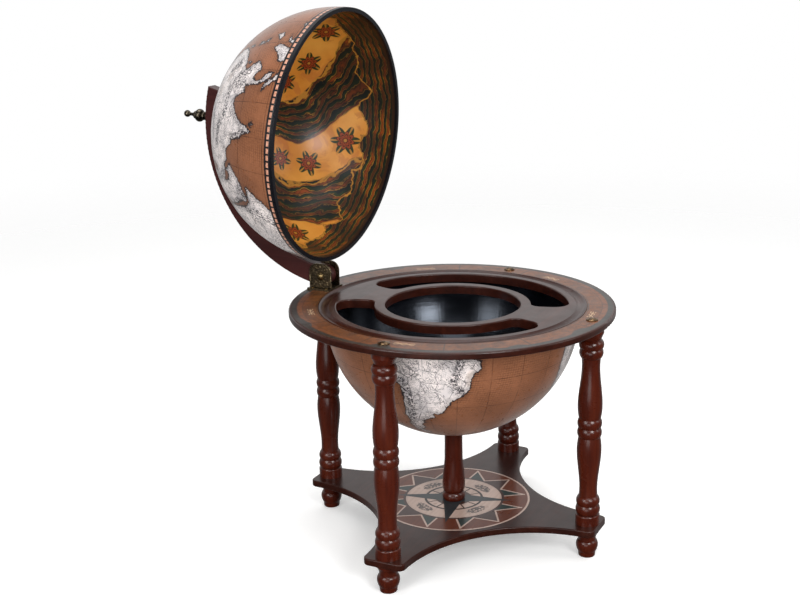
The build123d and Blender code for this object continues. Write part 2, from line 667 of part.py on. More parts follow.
def lay_on_pin(piece, side):
    """Turn a piece built along Z, from Z = 0, to stand out along X from the cheek."""
    return Pos(side * (CHEEK_OUT_X - CHEEK_RECESS), PIN_Y, PIN_Z) * Rot(0, side * 90, 0) * piece


def hinge_pin():
    """Pin with a domed head on the left cheek."""
    shank = cross_rod(BOLT_R, -CHEEK_OUT_X + CHEEK_RECESS, CHEEK_OUT_X - CHEEK_RECESS + PIN_HEAD_H / 2)
    return shank + lay_on_pin(domed_head(PIN_HEAD_R, PIN_HEAD_H, 0), -1)


def hinge_pin_cap():
    """Domed push-on cap over the pin's right end."""
    cap = domed_head(PIN_HEAD_R, PIN_HEAD_H, 0) - rod(BOLT_R + RUN_GAP, 0, PIN_HEAD_H / 2 + RUN_GAP)
    return lay_on_pin(cap, 1)


# ---------------------------------------------------------------- lid, closed
def meridian_arm():
    """Curved arm from the hinge, over the dome, to a little past the pole."""
    pin_angle = asin((PIN_Z - DOME_Z) / ARM_MID_R)
    end_angle = radians(90 + ARM_PAST_POLE_DEG)
    mid_angle = (pin_angle + end_angle) / 2

    def at(radius, angle):
        return (radius * cos(angle), radius * sin(angle))

    before_pin = pin_angle - ARM_H / 2 / ARM_MID_R
    face = make_face([
        ThreePointArc(at(ARM_OUT_R, pin_angle), at(ARM_OUT_R, mid_angle), at(ARM_OUT_R, end_angle)),
        Line(at(ARM_OUT_R, end_angle), at(ARM_IN_R, end_angle)),
        ThreePointArc(at(ARM_IN_R, end_angle), at(ARM_IN_R, mid_angle), at(ARM_IN_R, pin_angle)),
        ThreePointArc(at(ARM_IN_R, pin_angle), at(ARM_MID_R, before_pin), at(ARM_OUT_R, pin_angle)),
    ])
    bar = extrude(face, ARM_W)
    bar = fillet(bar.edges().filter_by(is_flat), ARM_EDGE_R)
    arm = Pos(-ARM_W / 2, 0, DOME_Z) * (Plane.YZ * bar)
    arm -= cross_rod(BOLT_R + RUN_GAP, -ARM_W, ARM_W)
    return arm - rod(BOLT_R + RUN_GAP, DOME_TOP_Z, ARM_TOP_Z)


def pivot_spacer():
    top = DOME_Z + sqrt(ARM_IN_R ** 2 - SPACER_R ** 2) - RUN_GAP
    return pipe(SPACER_R, BOLT_R + RUN_GAP, DOME_TOP_Z + FACE_GAP, top)


def hub_under_z():
    return DOME_Z + sqrt(LINING_IN_R ** 2 - HUB_R ** 2) - HUB_T


def pivot_washer():
    top = hub_under_z() - FACE_GAP
    return pipe(PIVOT_WASHER_R, BOLT_R + RUN_GAP, top - PIVOT_WASHER_T, top)


def pivot_bolt():
    """Bolt on the dome's axis: head inside, threaded into the finial outside."""
    seat = hub_under_z() - FACE_GAP - PIVOT_WASHER_T
    head = Pos(0, 0, seat) * Rot(180, 0, 0) * domed_head(PIVOT_HEAD_R, PIVOT_HEAD_H, 0)
    return rod(BOLT_R, seat, ARM_TOP_Z + FINIAL_THREAD_DEPTH) + head


def finial():
    """Turned brass nut with a bulb, a neck and an end ball."""
    bulb_low_z = FINIAL_BULB_Z - FINIAL_BULB_H / 2
    bulb_high_z = FINIAL_BULB_Z + FINIAL_BULB_H / 2
    ball_start_z = FINIAL_BALL_Z - sqrt(FINIAL_BALL_R ** 2 - FINIAL_NECK_R ** 2)
    tip_z = FINIAL_BALL_Z + FINIAL_BALL_R
    knob = turned(
        *outline((0, tip_z), (0, 0), (FINIAL_BASE_R, 0), (FINIAL_BASE_R, FINIAL_EDGE_H)),
        curve((FINIAL_BASE_R, FINIAL_EDGE_H), (FINIAL_FLARE_R, FINIAL_FLARE_Z),
              (FINIAL_GROOVE_R, FINIAL_GROOVE_Z)),
        bulge((FINIAL_GROOVE_R, FINIAL_GROOVE_Z), (FINIAL_RING_R, FINIAL_RING_Z),
              (FINIAL_WAIST_R, FINIAL_WAIST_Z)),
        *outline((FINIAL_WAIST_R, FINIAL_WAIST_Z), (FINIAL_BULB_LOW_R, bulb_low_z)),
        bulge((FINIAL_BULB_LOW_R, bulb_low_z), (FINIAL_BULB_R, FINIAL_BULB_Z),
              (FINIAL_BULB_HIGH_R, bulb_high_z)),
        bulge((FINIAL_BULB_HIGH_R, bulb_high_z), (FINIAL_COLLAR_R, FINIAL_COLLAR_Z),
              (FINIAL_COLLAR_TOP_R, FINIAL_COLLAR_TOP_Z)),
        curve((FINIAL_COLLAR_TOP_R, FINIAL_COLLAR_TOP_Z), (FINIAL_NECK_R, FINIAL_NECK_Z),
              (FINIAL_NECK_R, ball_start_z)),
        bulge((FINIAL_NECK_R, ball_start_z), (FINIAL_BALL_R, FINIAL_BALL_Z), (0, tip_z)),
    )
    return Pos(0, 0, ARM_TOP_Z) * (knob - rod(BOLT_R + RUN_GAP, 0, FINIAL_THREAD_DEPTH + FACE_GAP))


# ---------------------------------------------------------------- dome, closed
def upper_dome_shell():
    return half_shell(GLOBE_R, DOME_IN_R, DOME_Z, DOME_Z + RIM_H, BIG, BOLT_R + 2 * RUN_GAP)


def dome_rim_edging():
    return half_shell(GLOBE_R, GLOBE_R - RIM_T, DOME_Z, DOME_Z, DOME_Z + RIM_H, BOLT_R)


def dome_lining():
    return half_shell(LINING_OUT_R, LINING_IN_R, DOME_Z, DOME_Z + RIM_H + GLUE_GAP, BIG, BOLT_R + 2 * RUN_GAP)


def dome_hub():
    """Disc inside the pole that turns on the pivot bolt."""
    disc = pipe(HUB_R, BOLT_R + RUN_GAP, hub_under_z(), DOME_TOP_Z)
    return disc & (Pos(0, 0, DOME_Z) * Sphere(LINING_IN_R - RUN_GAP))


# ---------------------------------------------------------------- the assembly
nodes = {
    "ring_board": ring_board(),
    "ring_map_band": ring_map_band(),
    "drinks_tray": drinks_tray(),
    "tray_bead": tray_bead(),
    "lower_globe_shell": lower_globe_shell(),
    "bowl_liner": bowl_liner(),
    "shelf_board": shelf_board(),
    "compass_inlay": compass_inlay(),
    "centre_post": centre_post(),
    "leg_studs": leg_studs(),
    "leg_inserts": leg_inserts(),
    "table_bolts": table_bolts(),
    "hinge_bolt": hinge_bolt(),
    "post_washer": post_washer(),
    "post_top_screw": post_top_screw(),
    "post_bottom_screw": post_bottom_screw(),
    "hinge_bracket": hinge_bracket(),
    "hinge_screws": hinge_screws(),
    "hinge_pin": hinge_pin(),
    "hinge_pin_cap": hinge_pin_cap(),
}
for name, (leg_x, leg_y) in LEGS.items():
    nodes["leg_" + name] = Pos(leg_x, leg_y, 0) * leg()
    nodes["foot_" + name] = Pos(leg_x, leg_y, 0) * foot()

lid_nodes = {
    "meridian_arm": meridian_arm(),
    "pivot_spacer": pivot_spacer(),
    "pivot_washer": pivot_washer(),
    "pivot_bolt": pivot_bolt(),
    "finial": finial(),
    "upper_dome_shell": upper_dome_shell(),
    "dome_rim_edging": dome_rim_edging(),
    "dome_lining": dome_lining(),
    "dome_hub": dome_hub(),
}
for name, piece in lid_nodes.items():
    nodes[name] = swung_open(piece)

os.makedirs("parts", exist_ok=True)
for name, shape in nodes.items():
    solids = shape if isinstance(shape, list) else shape.solids()
    whole = solids[0] if len(solids) == 1 else Compound(children=list(solids))
    export_step(whole, "parts/" + name + ".step")
    print(name, len(solids), round(sum(s.volume for s in solids), 1))
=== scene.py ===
import json
from functools import partialmethod
from math import acos, asin, cos, hypot, pi, radians, sin

import bmesh
import bpy
import numpy as np
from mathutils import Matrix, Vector


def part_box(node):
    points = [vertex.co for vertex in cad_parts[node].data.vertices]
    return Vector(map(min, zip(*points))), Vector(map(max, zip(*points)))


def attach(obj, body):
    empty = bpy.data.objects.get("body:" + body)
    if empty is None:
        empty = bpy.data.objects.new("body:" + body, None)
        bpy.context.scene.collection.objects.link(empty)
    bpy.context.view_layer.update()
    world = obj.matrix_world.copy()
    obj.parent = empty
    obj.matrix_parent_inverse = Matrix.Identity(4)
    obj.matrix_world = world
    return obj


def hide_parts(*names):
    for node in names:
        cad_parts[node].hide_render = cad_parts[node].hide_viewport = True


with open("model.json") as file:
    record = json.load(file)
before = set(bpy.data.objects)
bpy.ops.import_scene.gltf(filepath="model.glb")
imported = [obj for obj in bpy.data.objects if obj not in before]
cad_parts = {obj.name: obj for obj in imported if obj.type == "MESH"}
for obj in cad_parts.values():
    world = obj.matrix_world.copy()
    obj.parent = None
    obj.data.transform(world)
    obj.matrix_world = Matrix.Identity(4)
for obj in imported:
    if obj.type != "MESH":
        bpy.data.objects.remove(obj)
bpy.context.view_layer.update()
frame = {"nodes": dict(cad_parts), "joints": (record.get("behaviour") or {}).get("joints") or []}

# ---- sizes read from the frame
MM = 0.001
TAU = 2 * pi
DEG = 180 / pi  # degrees in a radian
RAD = pi / 180
TABLE_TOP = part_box("ring_board")[1].z
GLOBE_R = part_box("dome_rim_edging")[1].x
LOWER_CENTRE = Vector((0, 0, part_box("lower_globe_shell")[0].z + GLOBE_R))
BOWL_RIM_H = LOWER_CENTRE.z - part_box("lower_globe_shell")[1].z
JOINTS = {joint["name"]: joint for joint in frame["joints"]}
PIN = Vector(JOINTS["lid_hinge"]["pos_m"])
DOME_CENTRE = Vector(JOINTS["dome_spin"]["pos_m"])
POLE = Vector(JOINTS["dome_spin"]["axis"]).normalized()


def with_settings(thing, **settings):
    for key, value in settings.items():
        setattr(thing, key, value)
    return thing


# ---- shader algebra
class Shader:
    """The node tree of a material or the world. Values are fields, sockets or plain numbers."""

    def __init__(self, name, owner=None):
        self.owner = owner or bpy.data.materials.new(name)
        self.owner.use_nodes = True
        self.tree = self.owner.node_tree

    def node(self, kind, **settings):
        return with_settings(self.tree.nodes.new(kind), **settings)

    def plug(self, socket, value):
        """Link a field or socket, or set a plain value."""
        if isinstance(value, Field):
            value = value.socket
        if isinstance(value, bpy.types.NodeSocket):
            self.tree.links.new(value, socket)
        elif isinstance(value, (tuple, list)) and len(socket.default_value) == 4:
            socket.default_value = (*value, 1.0)
        else:
            socket.default_value = value

    def fill(self, node, *in_order, **by_name):
        """Give a node's inputs their values, in order or by name, with _ for spaces."""
        for socket, value in zip(node.inputs, in_order):
            self.plug(socket, value)
        for key, value in by_name.items():
            self.plug(node.inputs[key.replace("_", " ")], value)
        return node

    def math(self, operation, *values):
        made = self.fill(self.node("ShaderNodeMath", operation=operation), *values)
        return Field(self, made.outputs[0])

    def position(self):
        """Object coordinates, in metres, which ride with the piece."""
        return self.node("ShaderNodeTexCoord").outputs["Object"]

    def attribute(self, name, output="Fac"):
        """What the mesh carries at its points."""
        return Field(self, self.node("ShaderNodeAttribute", attribute_name=name).outputs[output])

    def split(self, vector):
        made = self.fill(self.node("ShaderNodeSeparateXYZ"), vector)
        return [Field(self, part) for part in made.outputs]

    def join(self, x, y, z):
        return self.fill(self.node("ShaderNodeCombineXYZ"), x, y, z).outputs[0]

    def stretch(self, vector, x, y, z):
        return self.fill(self.node("ShaderNodeMapping"), Vector=vector, Scale=(x, y, z)).outputs[0]

    def noise(self, vector, scale, detail=3.0, rough=0.55, distortion=0.0):
        made = self.fill(
            self.node("ShaderNodeTexNoise"), Vector=vector, Scale=scale, Detail=detail, Roughness=rough,
            Distortion=distortion)
        return Field(self, made.outputs["Fac"])

    def cells(self, vector, scale, feature="DISTANCE_TO_EDGE"):
        made = self.fill(self.node("ShaderNodeTexVoronoi", feature=feature), Vector=vector, Scale=scale)
        return Field(self, made.outputs["Distance"])

    def crevice(self, distance):
        """1 in the grooves of the piece's own shape, 0 on its open faces."""
        made = self.node("ShaderNodeAmbientOcclusion", samples=6, only_local=True)
        return 1.0 - Field(self, self.fill(made, Distance=distance).outputs["AO"])

    def mix(self, share, low, high):
        """Colour between two colours."""
        made = self.node("ShaderNodeMix", data_type="RGBA", clamp_factor=True)
        return self.fill(made, Factor=share, A=low, B=high).outputs["Result"]

    def ramp(self, value, *stops):
        """Colour ramp through (place, colour) stops."""
        made = self.fill(self.node("ShaderNodeValToRGB"), value)
        while len(made.color_ramp.elements) < len(stops):
            made.color_ramp.elements.new(0.5)
        for element, (place, colour) in zip(made.color_ramp.elements, stops):
            element.position = place
            element.color = (*colour, 1.0)
        return made.outputs["Color"]

    def bump(self, height, distance, strength=1.0):
        made = self.node("ShaderNodeBump")
        return self.fill(made, Height=height, Distance=distance, Strength=strength).outputs["Normal"]

    def finish(self, **values):
        """Set the Principled shader's sockets and give the material."""
        self.fill(self.tree.nodes["Principled BSDF"], **values)
        return self.owner


class Field:
    """A number that varies over the surface."""

    def __init__(self, shader, socket):
        self.shader = shader
        self.socket = socket

    def _do(self, operation, *others):
        return self.shader.math(operation, self, *others)

    def __rsub__(self, other):
        return self.shader.math("SUBTRACT", other, self)

    __add__ = __radd__ = partialmethod(_do, "ADD")
    __mul__ = __rmul__ = partialmethod(_do, "MULTIPLY")
    __sub__ = partialmethod(_do, "SUBTRACT")
    __truediv__ = partialmethod(_do, "DIVIDE")
    abs = partialmethod(_do, "ABSOLUTE")
    sin = partialmethod(_do, "SINE")
    cos = partialmethod(_do, "COSINE")
    asin = partialmethod(_do, "ARCSINE")
    root = partialmethod(_do, "SQRT")
    power = partialmethod(_do, "POWER")
    fraction = partialmethod(_do, "FRACT")
    whole = partialmethod(_do, "FLOOR")
    low = partialmethod(_do, "MINIMUM")

    def high(self, *others):
        """The highest of several numbers."""
        highest = self
        for other in others:
            highest = highest._do("MAXIMUM", other)
        return highest

    def scale(self, low, high, to_low=0.0, to_high=1.0, **settings):
        """Map low to to_low and high to to_high, evenly between them and held beyond them."""
        made = self.shader.node("ShaderNodeMapRange", **settings)
        self.shader.fill(made, Value=self, From_Min=low, From_Max=high, To_Min=to_low, To_Max=to_high)
        return Field(self.shader, made.outputs["Result"])

    def spread(self, low=0.0, high=1.0):
        """Noise, which lies mostly between 0.3 and 0.7, as a number from low to high."""
        return self.scale(0.3, 0.7, low, high)

    def step(self, edge, soft):
        """0 below the edge and 1 above it, over a soft width."""
        return self.scale(edge - soft / 2, edge + soft / 2, interpolation_type="SMOOTHSTEP")

    def below(self, edge, soft):
        """1 below the edge and 0 above it, over a soft width."""
        return 1.0 - self.step(edge, soft)

    def band(self, low, high, soft):
        """1 between two edges, 0 outside them."""
        return self.step(low, soft) * self.below(high, soft)

    def line(self, centre, half, soft):
        """1 within half a width of the centre, 0 outside it."""
        return (self - centre).abs().below(half, soft)

    def off_middle(self):
        """Distance from the middle between two whole numbers, 0 to 0.5."""
        return (self.fraction() - 0.5).abs()

    def between(self, low, high):
        """The number that lies this share of the way from low to high."""
        return low + (high - low) * self


def length(x, y):
    return (x * x + y * y).root()


def angle(y, x):
    return x.shader.math("ARCTAN2", y, x)


def polar(s):
    """Radius in millimetres and azimuth in degrees about the object's vertical axis."""
    x, y, _ = s.split(s.position())
    x, y = x / MM, y / MM
    return length(x, y), angle(y, x) * DEG


# ---- camera, floor and light
CAMERA_AT = Vector((-1.4995, -0.7028, 0.7884))
CAMERA_LOOKS = Vector((0.88, 0.3903, -0.2706))
CAMERA_LENS = {"lens": 59.75, "sensor_width": 36.0, "shift_x": -0.0992, "clip_start": 0.05, "clip_end": 200}
FLOOR_R = 3.0
FLOOR_FADE = 1.2
FLOOR_SIDES = 96
FLOOR_GLOW = 0.3  # lifts the shadows of the pale floor
FLOOR_COLOUR = (0.9, 0.9, 0.895)
BOUNCE_DROP = 0.002
BOUNCE_COLOUR = (0.52, 0.51, 0.5)
BACKDROP = Vector((0.88, 0.39, 0.12)).normalized()  # bright side of the studio
BACKDROP_FADE = (-0.25, 0.85)  # cosines off it between which the light grows
WORLD_BACK = 0.85
WORLD_FRONT = 0.12
WORLD_BELOW = 0.35  # share of the light that is left under the horizon
HORIZON_FADE = (-0.1, 0.14)  # sines of the elevation between which the share grows to 1
SOFTBOX_AIM = Vector((0, 0, 0.33))
SOFTBOXES = (  # name, place, width, height and watts
    ("softbox_left", (-2.0, 0.55, 0.95), 0.8, 1.0, 18),
    ("softbox_right", (-1.05, -1.3, 0.95), 0.6, 0.5, 17),
    ("softbox_side", (0.5, -2.2, 1.3), 0.8, 1.2, 10),
    ("softbox_front", (-1.9, -0.8, 2.1), 1.2, 0.8, 12),
    ("softbox_top", (0.0, 0.0, 2.6), 2.2, 2.2, 44),
    ("softbox_low", (-2.2, -0.5, 0.25), 1.2, 0.8, 9),
)


def add_object(name, data):
    made = bpy.data.objects.new(name, data)
    bpy.context.scene.collection.objects.link(made)
    return made


def aim(thing, at, toward):
    """Put a camera or light at a place and let it look along a direction."""
    thing.location = at
    thing.rotation_euler = toward.to_track_quat("-Z", "Y").to_euler()


def add_camera():
    camera = add_object("camera", with_settings(bpy.data.cameras.new("camera"), **CAMERA_LENS))
    aim(camera, CAMERA_AT, CAMERA_LOOKS)
    bpy.context.scene.camera = camera


def add_disc(name, height, glow, colour, **sight):
    """A pale disc that fades out at its edge and is hidden from some rays."""
    mesh = bpy.data.meshes.new(name)
    turns = [TAU * k / FLOOR_SIDES for k in range(FLOOR_SIDES)]
    rim = [(FLOOR_R * cos(turn), FLOOR_R * sin(turn), height) for turn in turns]
    mesh.from_pydata(rim, [], [tuple(range(FLOOR_SIDES))])
    disc = add_object(name, mesh)
    paint = Shader(name)
    x, y, _ = paint.split(paint.position())
    grain = paint.noise(paint.position(), 90, 2)
    mesh.materials.append(paint.finish(
        Base_Color=colour, Roughness=grain.spread(0.8, 0.9), Specular_IOR_Level=0.2,
        Emission_Color=colour, Emission_Strength=glow,
        Alpha=length(x, y).below(FLOOR_R - FLOOR_FADE, 2 * FLOOR_FADE * 0.98)))
    with_settings(disc, visible_glossy=False, **sight)


def add_world():
    """White to the camera. Its light comes mostly from the backdrop's side and little from below."""
    world = bpy.data.worlds.new("studio")
    bpy.context.scene.world = world
    sky = Shader("studio", world)
    way = sky.node("ShaderNodeTexCoord").outputs["Generated"]
    toward = sky.fill(sky.node("ShaderNodeVectorMath", operation="DOT_PRODUCT"), way, BACKDROP)
    bright = Field(sky, toward.outputs["Value"]).scale(
        *BACKDROP_FADE, WORLD_FRONT, WORLD_BACK, interpolation_type="SMOOTHSTEP")
    above = sky.split(way)[2].scale(*HORIZON_FADE, WORLD_BELOW, 1.0)
    seen = sky.node("ShaderNodeLightPath").outputs["Is Camera Ray"]
    sky.fill(sky.tree.nodes["Background"], Color=(1.0, 1.0, 1.0), Strength=(bright * above).high(seen))


def add_softbox(name, at, width, height, watts):
    data = with_settings(
        bpy.data.lights.new(name, "AREA"), shape="RECTANGLE", size=width, size_y=height, energy=watts)
    aim(add_object(name, data), at, SOFTBOX_AIM - Vector(at))


add_camera()
add_world()
# The floor that the camera sees, and a darker one just under it that bounces the light.
add_disc("floor", 0.0, FLOOR_GLOW, FLOOR_COLOUR, visible_diffuse=False, visible_shadow=False)
add_disc("floor_bounce", -BOUNCE_DROP, 0.0, BOUNCE_COLOUR, visible_camera=False)
for softbox in SOFTBOXES:
    add_softbox(*softbox)
bpy.context.scene.view_settings.view_transform = "Standard"


# ---- coastlines of the printed map
# Corners as complex numbers: degrees of longitude plus degrees of latitude times j.
COASTS = {
    "africa": (
        -17+21j, -17+15j, -13+9j, -8+4.5j, 4+6j, 9+4j, 9-1j, 13-8j, 12-16j, 15-27j, 18-34j, 22-34.5j,
        27-33.5j, 32-28.5j, 35.5-23j, 35-19.5j, 40.5-15.5j, 39-7j, 42-1.5j, 47+4.5j, 51+11.5j, 43.5+11.5j,
        39+16j, 37+21j, 34+27j, 32.5+30j, 25+31.7j, 20+31j, 19+30.5j, 15+32.3j, 11+34j, 10.5+37j, 2+36.8j,
        -5.5+35.8j, -9+32j, -10+29j, -13+27.5j),
    "eurasia": (
        -9+37j, -9.3+43j, -2+43.5j, -1.5+46.5j, -4.5+48.3j, 1.5+50.2j, 4+52j, 8+54j, 8.5+57j, 10.5+57.5j,
        10+54.3j, 14+54j, 19+54.5j, 21+57j, 24+57.3j, 23.5+59.2j, 29+60j, 22.5+60.2j, 21.5+63j, 25+65.5j,
        21.5+65j, 17.3+62j, 17+59j, 14.3+55.6j, 12.5+56.3j, 11+59j, 7+58.2j, 5+61j, 10+64j, 14+67.5j,
        20+70j, 28+71j, 40+67.5j, 38+66j, 33+66.5j, 37+64j, 44+66j, 44+68j, 54+68.5j, 68+68.5j, 69+72.5j,
        73+71.5j, 80+73j, 87+75j, 104+77.5j, 113+74j, 128+72.5j, 140+73j, 152+71j, 162+69.8j, 178+69j,
        190+66.5j, 182+64.5j, 177+62.3j, 170+60j, 163+58j, 162+55j, 157+51j, 155.5+56j, 160+61j, 155+59.3j,
        143+59j, 135.5+54.7j, 141+53j, 140+48.5j, 135+43.5j, 130+42.3j, 127.5+39.8j, 129.3+37j, 129+35.2j,
        126.5+34.5j, 126.3+37.5j, 124.5+40j, 121.5+40.5j, 121.3+39j, 118+39j, 119+37.3j, 122.5+37j,
        119.3+35j, 121.8+31.5j, 121.5+28.5j, 118.5+24.5j, 114+22.5j, 109.8+21.3j, 108+21.5j, 105.8+19j,
        109.2+13j, 109+11.5j, 105+8.8j, 104.8+10.4j, 101+12.8j, 99.3+10j, 100.5+7j, 103.3+4.5j, 104+1.4j,
        101.3+3j, 98.5+8j, 98.5+12j, 97.5+16.5j, 94.5+16j, 92+21.5j, 89+21.8j, 86.8+21.2j, 82.3+16.6j,
        80.2+13.5j, 79.8+10.3j, 77.5+8.1j, 76+11j, 73.5+16j, 72.7+20.5j, 70.5+20.9j, 69+22.3j, 67+24.8j,
        61.5+25.2j, 57+27j, 51+28j, 48.5+30j, 50+26.7j, 51.5+24.3j, 54.5+24.2j, 56.3+26j, 59.7+22.5j,
        55+17.2j, 51+15j, 45+12.8j, 43+13.5j, 42.5+17j, 39+21.5j, 35+28j, 34.5+31.5j, 36+36.5j, 30.5+36.5j,
        27.3+37j, 26.5+39.5j, 29+41j, 35+42j, 41.5+41.5j, 37+45j, 39+47j, 33.5+46j, 30.8+46.5j, 28+43.3j,
        28+41.5j, 26+40.8j, 23.5+40.3j, 24+38j, 22.8+36.5j, 21.3+37.5j, 19.5+41j, 19.3+42j, 15+44.3j,
        13.5+45.6j, 12.4+44.5j, 16+41.5j, 18.5+40j, 16.7+40.5j, 17+39j, 16+38j, 15.5+40.2j, 12+42j,
        9.5+44.2j, 6+43.2j, 3.2+43j, 3+41.5j, 0+39.8j, -0.5+38j, -2+36.8j, -5.5+36.1j),
    "north_america": (
        -168+66j, -166+62j, -162+59j, -158+57j, -152+59.5j, -147+61j, -140+60j, -134+57j, -130+54j,
        -124+49j, -124.5+43j, -120.5+34.5j, -117+32j, -112.5+26j, -110+23.2j, -112+28j, -114.5+31.5j,
        -112+29j, -106+23j, -105+20j, -97+15.8j, -91+14j, -86+11.5j, -83+8.5j, -79+7.5j, -77.5+8.8j,
        -83+10j, -83.5+15j, -88.5+16j, -87+21.3j, -90.5+21j, -91.5+18.6j, -95+18.5j, -97.7+22.5j,
        -97.3+27.5j, -94+29.6j, -89.3+29.3j, -84+30j, -82.7+27.5j, -81+25.2j, -80.2+27j, -81.3+31j, -76+35j,
        -74+40.3j, -70+42j, -67+44.8j, -65.5+43.7j, -61+45.8j, -65+48.5j, -60+50j, -56+52.5j, -61+56.5j,
        -65+60j, -70+61j, -73+62.3j, -78+62.3j, -77+57j, -79+54.5j, -80+51.3j, -85+55.3j, -93+58.8j,
        -94+61.5j, -88+64j, -83+68j, -90+69j, -95+72j, -104+68j, -115+68j, -128+70j, -141+69.7j, -156+71.3j,
        -163+69.5j),
    "south_america": (
        -77.5+8.7j, -72+12j, -62+10.7j, -52+5j, -50+0j, -44-2.5j, -35.2-5.5j, -35-9j, -39-13j, -39.5-19j,
        -42-22.8j, -48.5-26j, -48.7-28.5j, -52-33j, -54.5-34.8j, -58-34j, -57-37.5j, -62-39j, -65-41j,
        -63.7-42.5j, -67-45.8j, -66-48j, -69-51j, -68.3-52.5j, -65.2-54.8j, -70-55.2j, -74.5-51.5j,
        -75.5-47j, -73-42j, -73.5-37j, -71.5-30j, -70.3-18.4j, -76-14j, -79.8-7j, -81.3-5j, -80-2j,
        -78.5+1.5j, -77.3+4j, -77.8+7.2j),
    "australia": (
        113.5-22.5j, 114-26.5j, 115.7-32j, 115-34.3j, 118-35j, 124-33j, 131-31.5j, 135-34.8j, 138-33j,
        137.8-35.7j, 140.5-38j, 146.5-39j, 150-37.5j, 153-31.5j, 153-25.5j, 149-21j, 145.8-16.5j,
        142.5-10.8j, 141-17j, 136-15.5j, 136.8-12.2j, 131-11.8j, 128.5-15j, 124-16.5j, 121.5-19j),
    "greenland": (
        -45+60j, -53+66j, -55+71j, -66+76j, -72+78j, -60+82j, -32+83.5j, -18+80j, -22+71j, -32+68j,
        -41+63.5j),
    "baffin": (-65+62j, -72+64j, -74+67j, -85+70j, -90+73j, -80+73.7j, -68+70j, -61+66j),
    "ellesmere": (-62+82j, -75+83j, -92+81j, -88+77j, -78+76.5j),
    "victoria": (-117+69j, -105+69j, -105+73j, -117+73j),
    "iceland": (-22+64j, -14+64.8j, -15+66.3j, -24+65.7j),
    "britain": (-5.5+50.2j, 1.3+51.3j, 0+54j, -2+57.5j, -5+58.5j, -5.7+56j, -3+54j, -5+52j),
    "ireland": (-10+52j, -6+52.3j, -6+55j, -10+54.2j),
    "honshu": (
        130+31.5j, 131.5+34j, 136+36j, 139+38j, 141+41.3j, 142+39.5j, 140.8+35.5j, 136+33.7j, 132+32.3j),
    "hokkaido": (140+41.8j, 145.5+43.3j, 142+45.4j),
    "sakhalin": (142+46j, 143.5+49.5j, 143+54.3j, 142+50j),
    "taiwan": (120.2+22.8j, 121.5+25.2j, 121+22j),
    "hainan": (108.7+19.2j, 111+19.9j, 109.5+18.2j),
    "luzon": (120.3+16j, 120.7+18.5j, 122.2+18.3j, 121.7+16j, 124+13j, 121+13.8j),
    "mindanao": (122+7j, 125.5+9.7j, 126.3+7j, 124+6j),
    "borneo": (109+1.5j, 113+3.2j, 117+7j, 119+5j, 117.5+1j, 116-3.8j, 111-3j, 109.5-0.8j),
    "sumatra": (95.3+5.6j, 98+4.2j, 103.5-1j, 106-3.2j, 105.7-5.8j, 102-4j, 98.7+1.7j),
    "java": (105.3-6.7j, 110-6.4j, 114.3-7.7j, 114.3-8.7j, 108-7.8j),
    "sulawesi": (
        119.5-5.5j, 119.5-0.5j, 120.8+1.2j, 125+1.5j, 121+0.5j, 121.3-1j, 123.3-0.9j, 121.8-2j, 122.8-4.8j,
        121.5-4.8j, 120.7-3j, 120.3-5.5j),
    "new_guinea": (
        131-0.8j, 134-0.8j, 135-3.3j, 138-1.7j, 145-4.3j, 150.5-10.5j, 146-8.8j, 142.5-9.2j, 138-8.3j,
        138-5.5j, 133-4j, 132-2.8j),
    "tasmania": (144.8-41j, 148.2-41j, 147-43.5j),
    "new_zealand_north": (173-34.6j, 175.5-37j, 178.5-37.8j, 176-41.4j, 174-39j),
    "new_zealand_south": (173-40.7j, 174.2-41.6j, 171-44.3j, 168.5-46.6j, 166.6-45.8j),
    "madagascar": (49.3-12j, 50.4-15.5j, 47-25j, 44-24.5j, 44.3-17j),
    "sri_lanka": (79.9+9.6j, 81.8+7.2j, 80.5+6j, 79.8+7.5j),
    "cuba": (-84.8+22j, -80+23j, -74.3+20.2j, -77.5+19.9j, -82+22.3j),
    "hispaniola": (-74.3+18.5j, -72.8+19.9j, -68.5+18.6j),
    "novaya_zemlya": (52+71j, 57+70.6j, 69+77j, 60+76j),
}
CASPIAN = (47+45j, 51+47j, 53+45j, 53+41j, 54+37j, 50+37.3j, 49+40.5j, 47.5+43j)
ANTARCTIC_COAST = -69.0
RANGES = (
    (-73+9j, -78+0j, -77-9j, -69-17j, -68-27j, -70-38j, -72.5-47j, -70-54j),
    (-150+62j, -126+56j, -116+49j, -109+39j, -105+28j, -99+19j),
    (-84+34j, -78+40j, -71+45j),
    (68+36j, 77+34j, 86+28.5j, 95+28.5j, 101+26j),
    (72+41j, 82+44j, 93+47j, 104+51j, 118+54j, 132+60j, 145+66j),
    (58+52j, 60+60j, 66+67j),
    (42+43j, 46+36j, 53+30j),
    (6+45j, 13+47j, 23+48j, 25+44j),
    (-8+31j, 5+35j),
    (38+15j, 39+7j, 35-2j, 34-12j, 29-28j, 22-32j),
    (74.5+20j, 76.5+10j),
    (103+24j, 106+15j),
    (99+24j, 98+14j),
    (109+33j, 112+26j),
    (37+26j, 44+15j, 52+16j),
    (146-18j, 151-28j, 148-36j),
    (118-22j, 128-24j),
    (8+60j, 17+68j),
    (-44-6j, -46-16j, -43-21j),
    (-62+4j, -55+2j),
)
COAST_REACH = 12  # degrees of latitude within which a coast counts
FAR = 20.0  # degrees from the mountains that count as far


def segment_distance(east, north, shrink, way):
    """Degrees to a segment from places that are given from its first end."""
    px, ex, ey = east * shrink, way.real * shrink, way.imag
    along = np.clip((px * ex + north * ey) / (ex * ex + ey * ey + 1e-12), 0, 1)
    return np.hypot(px - along * ex, north - along * ey)


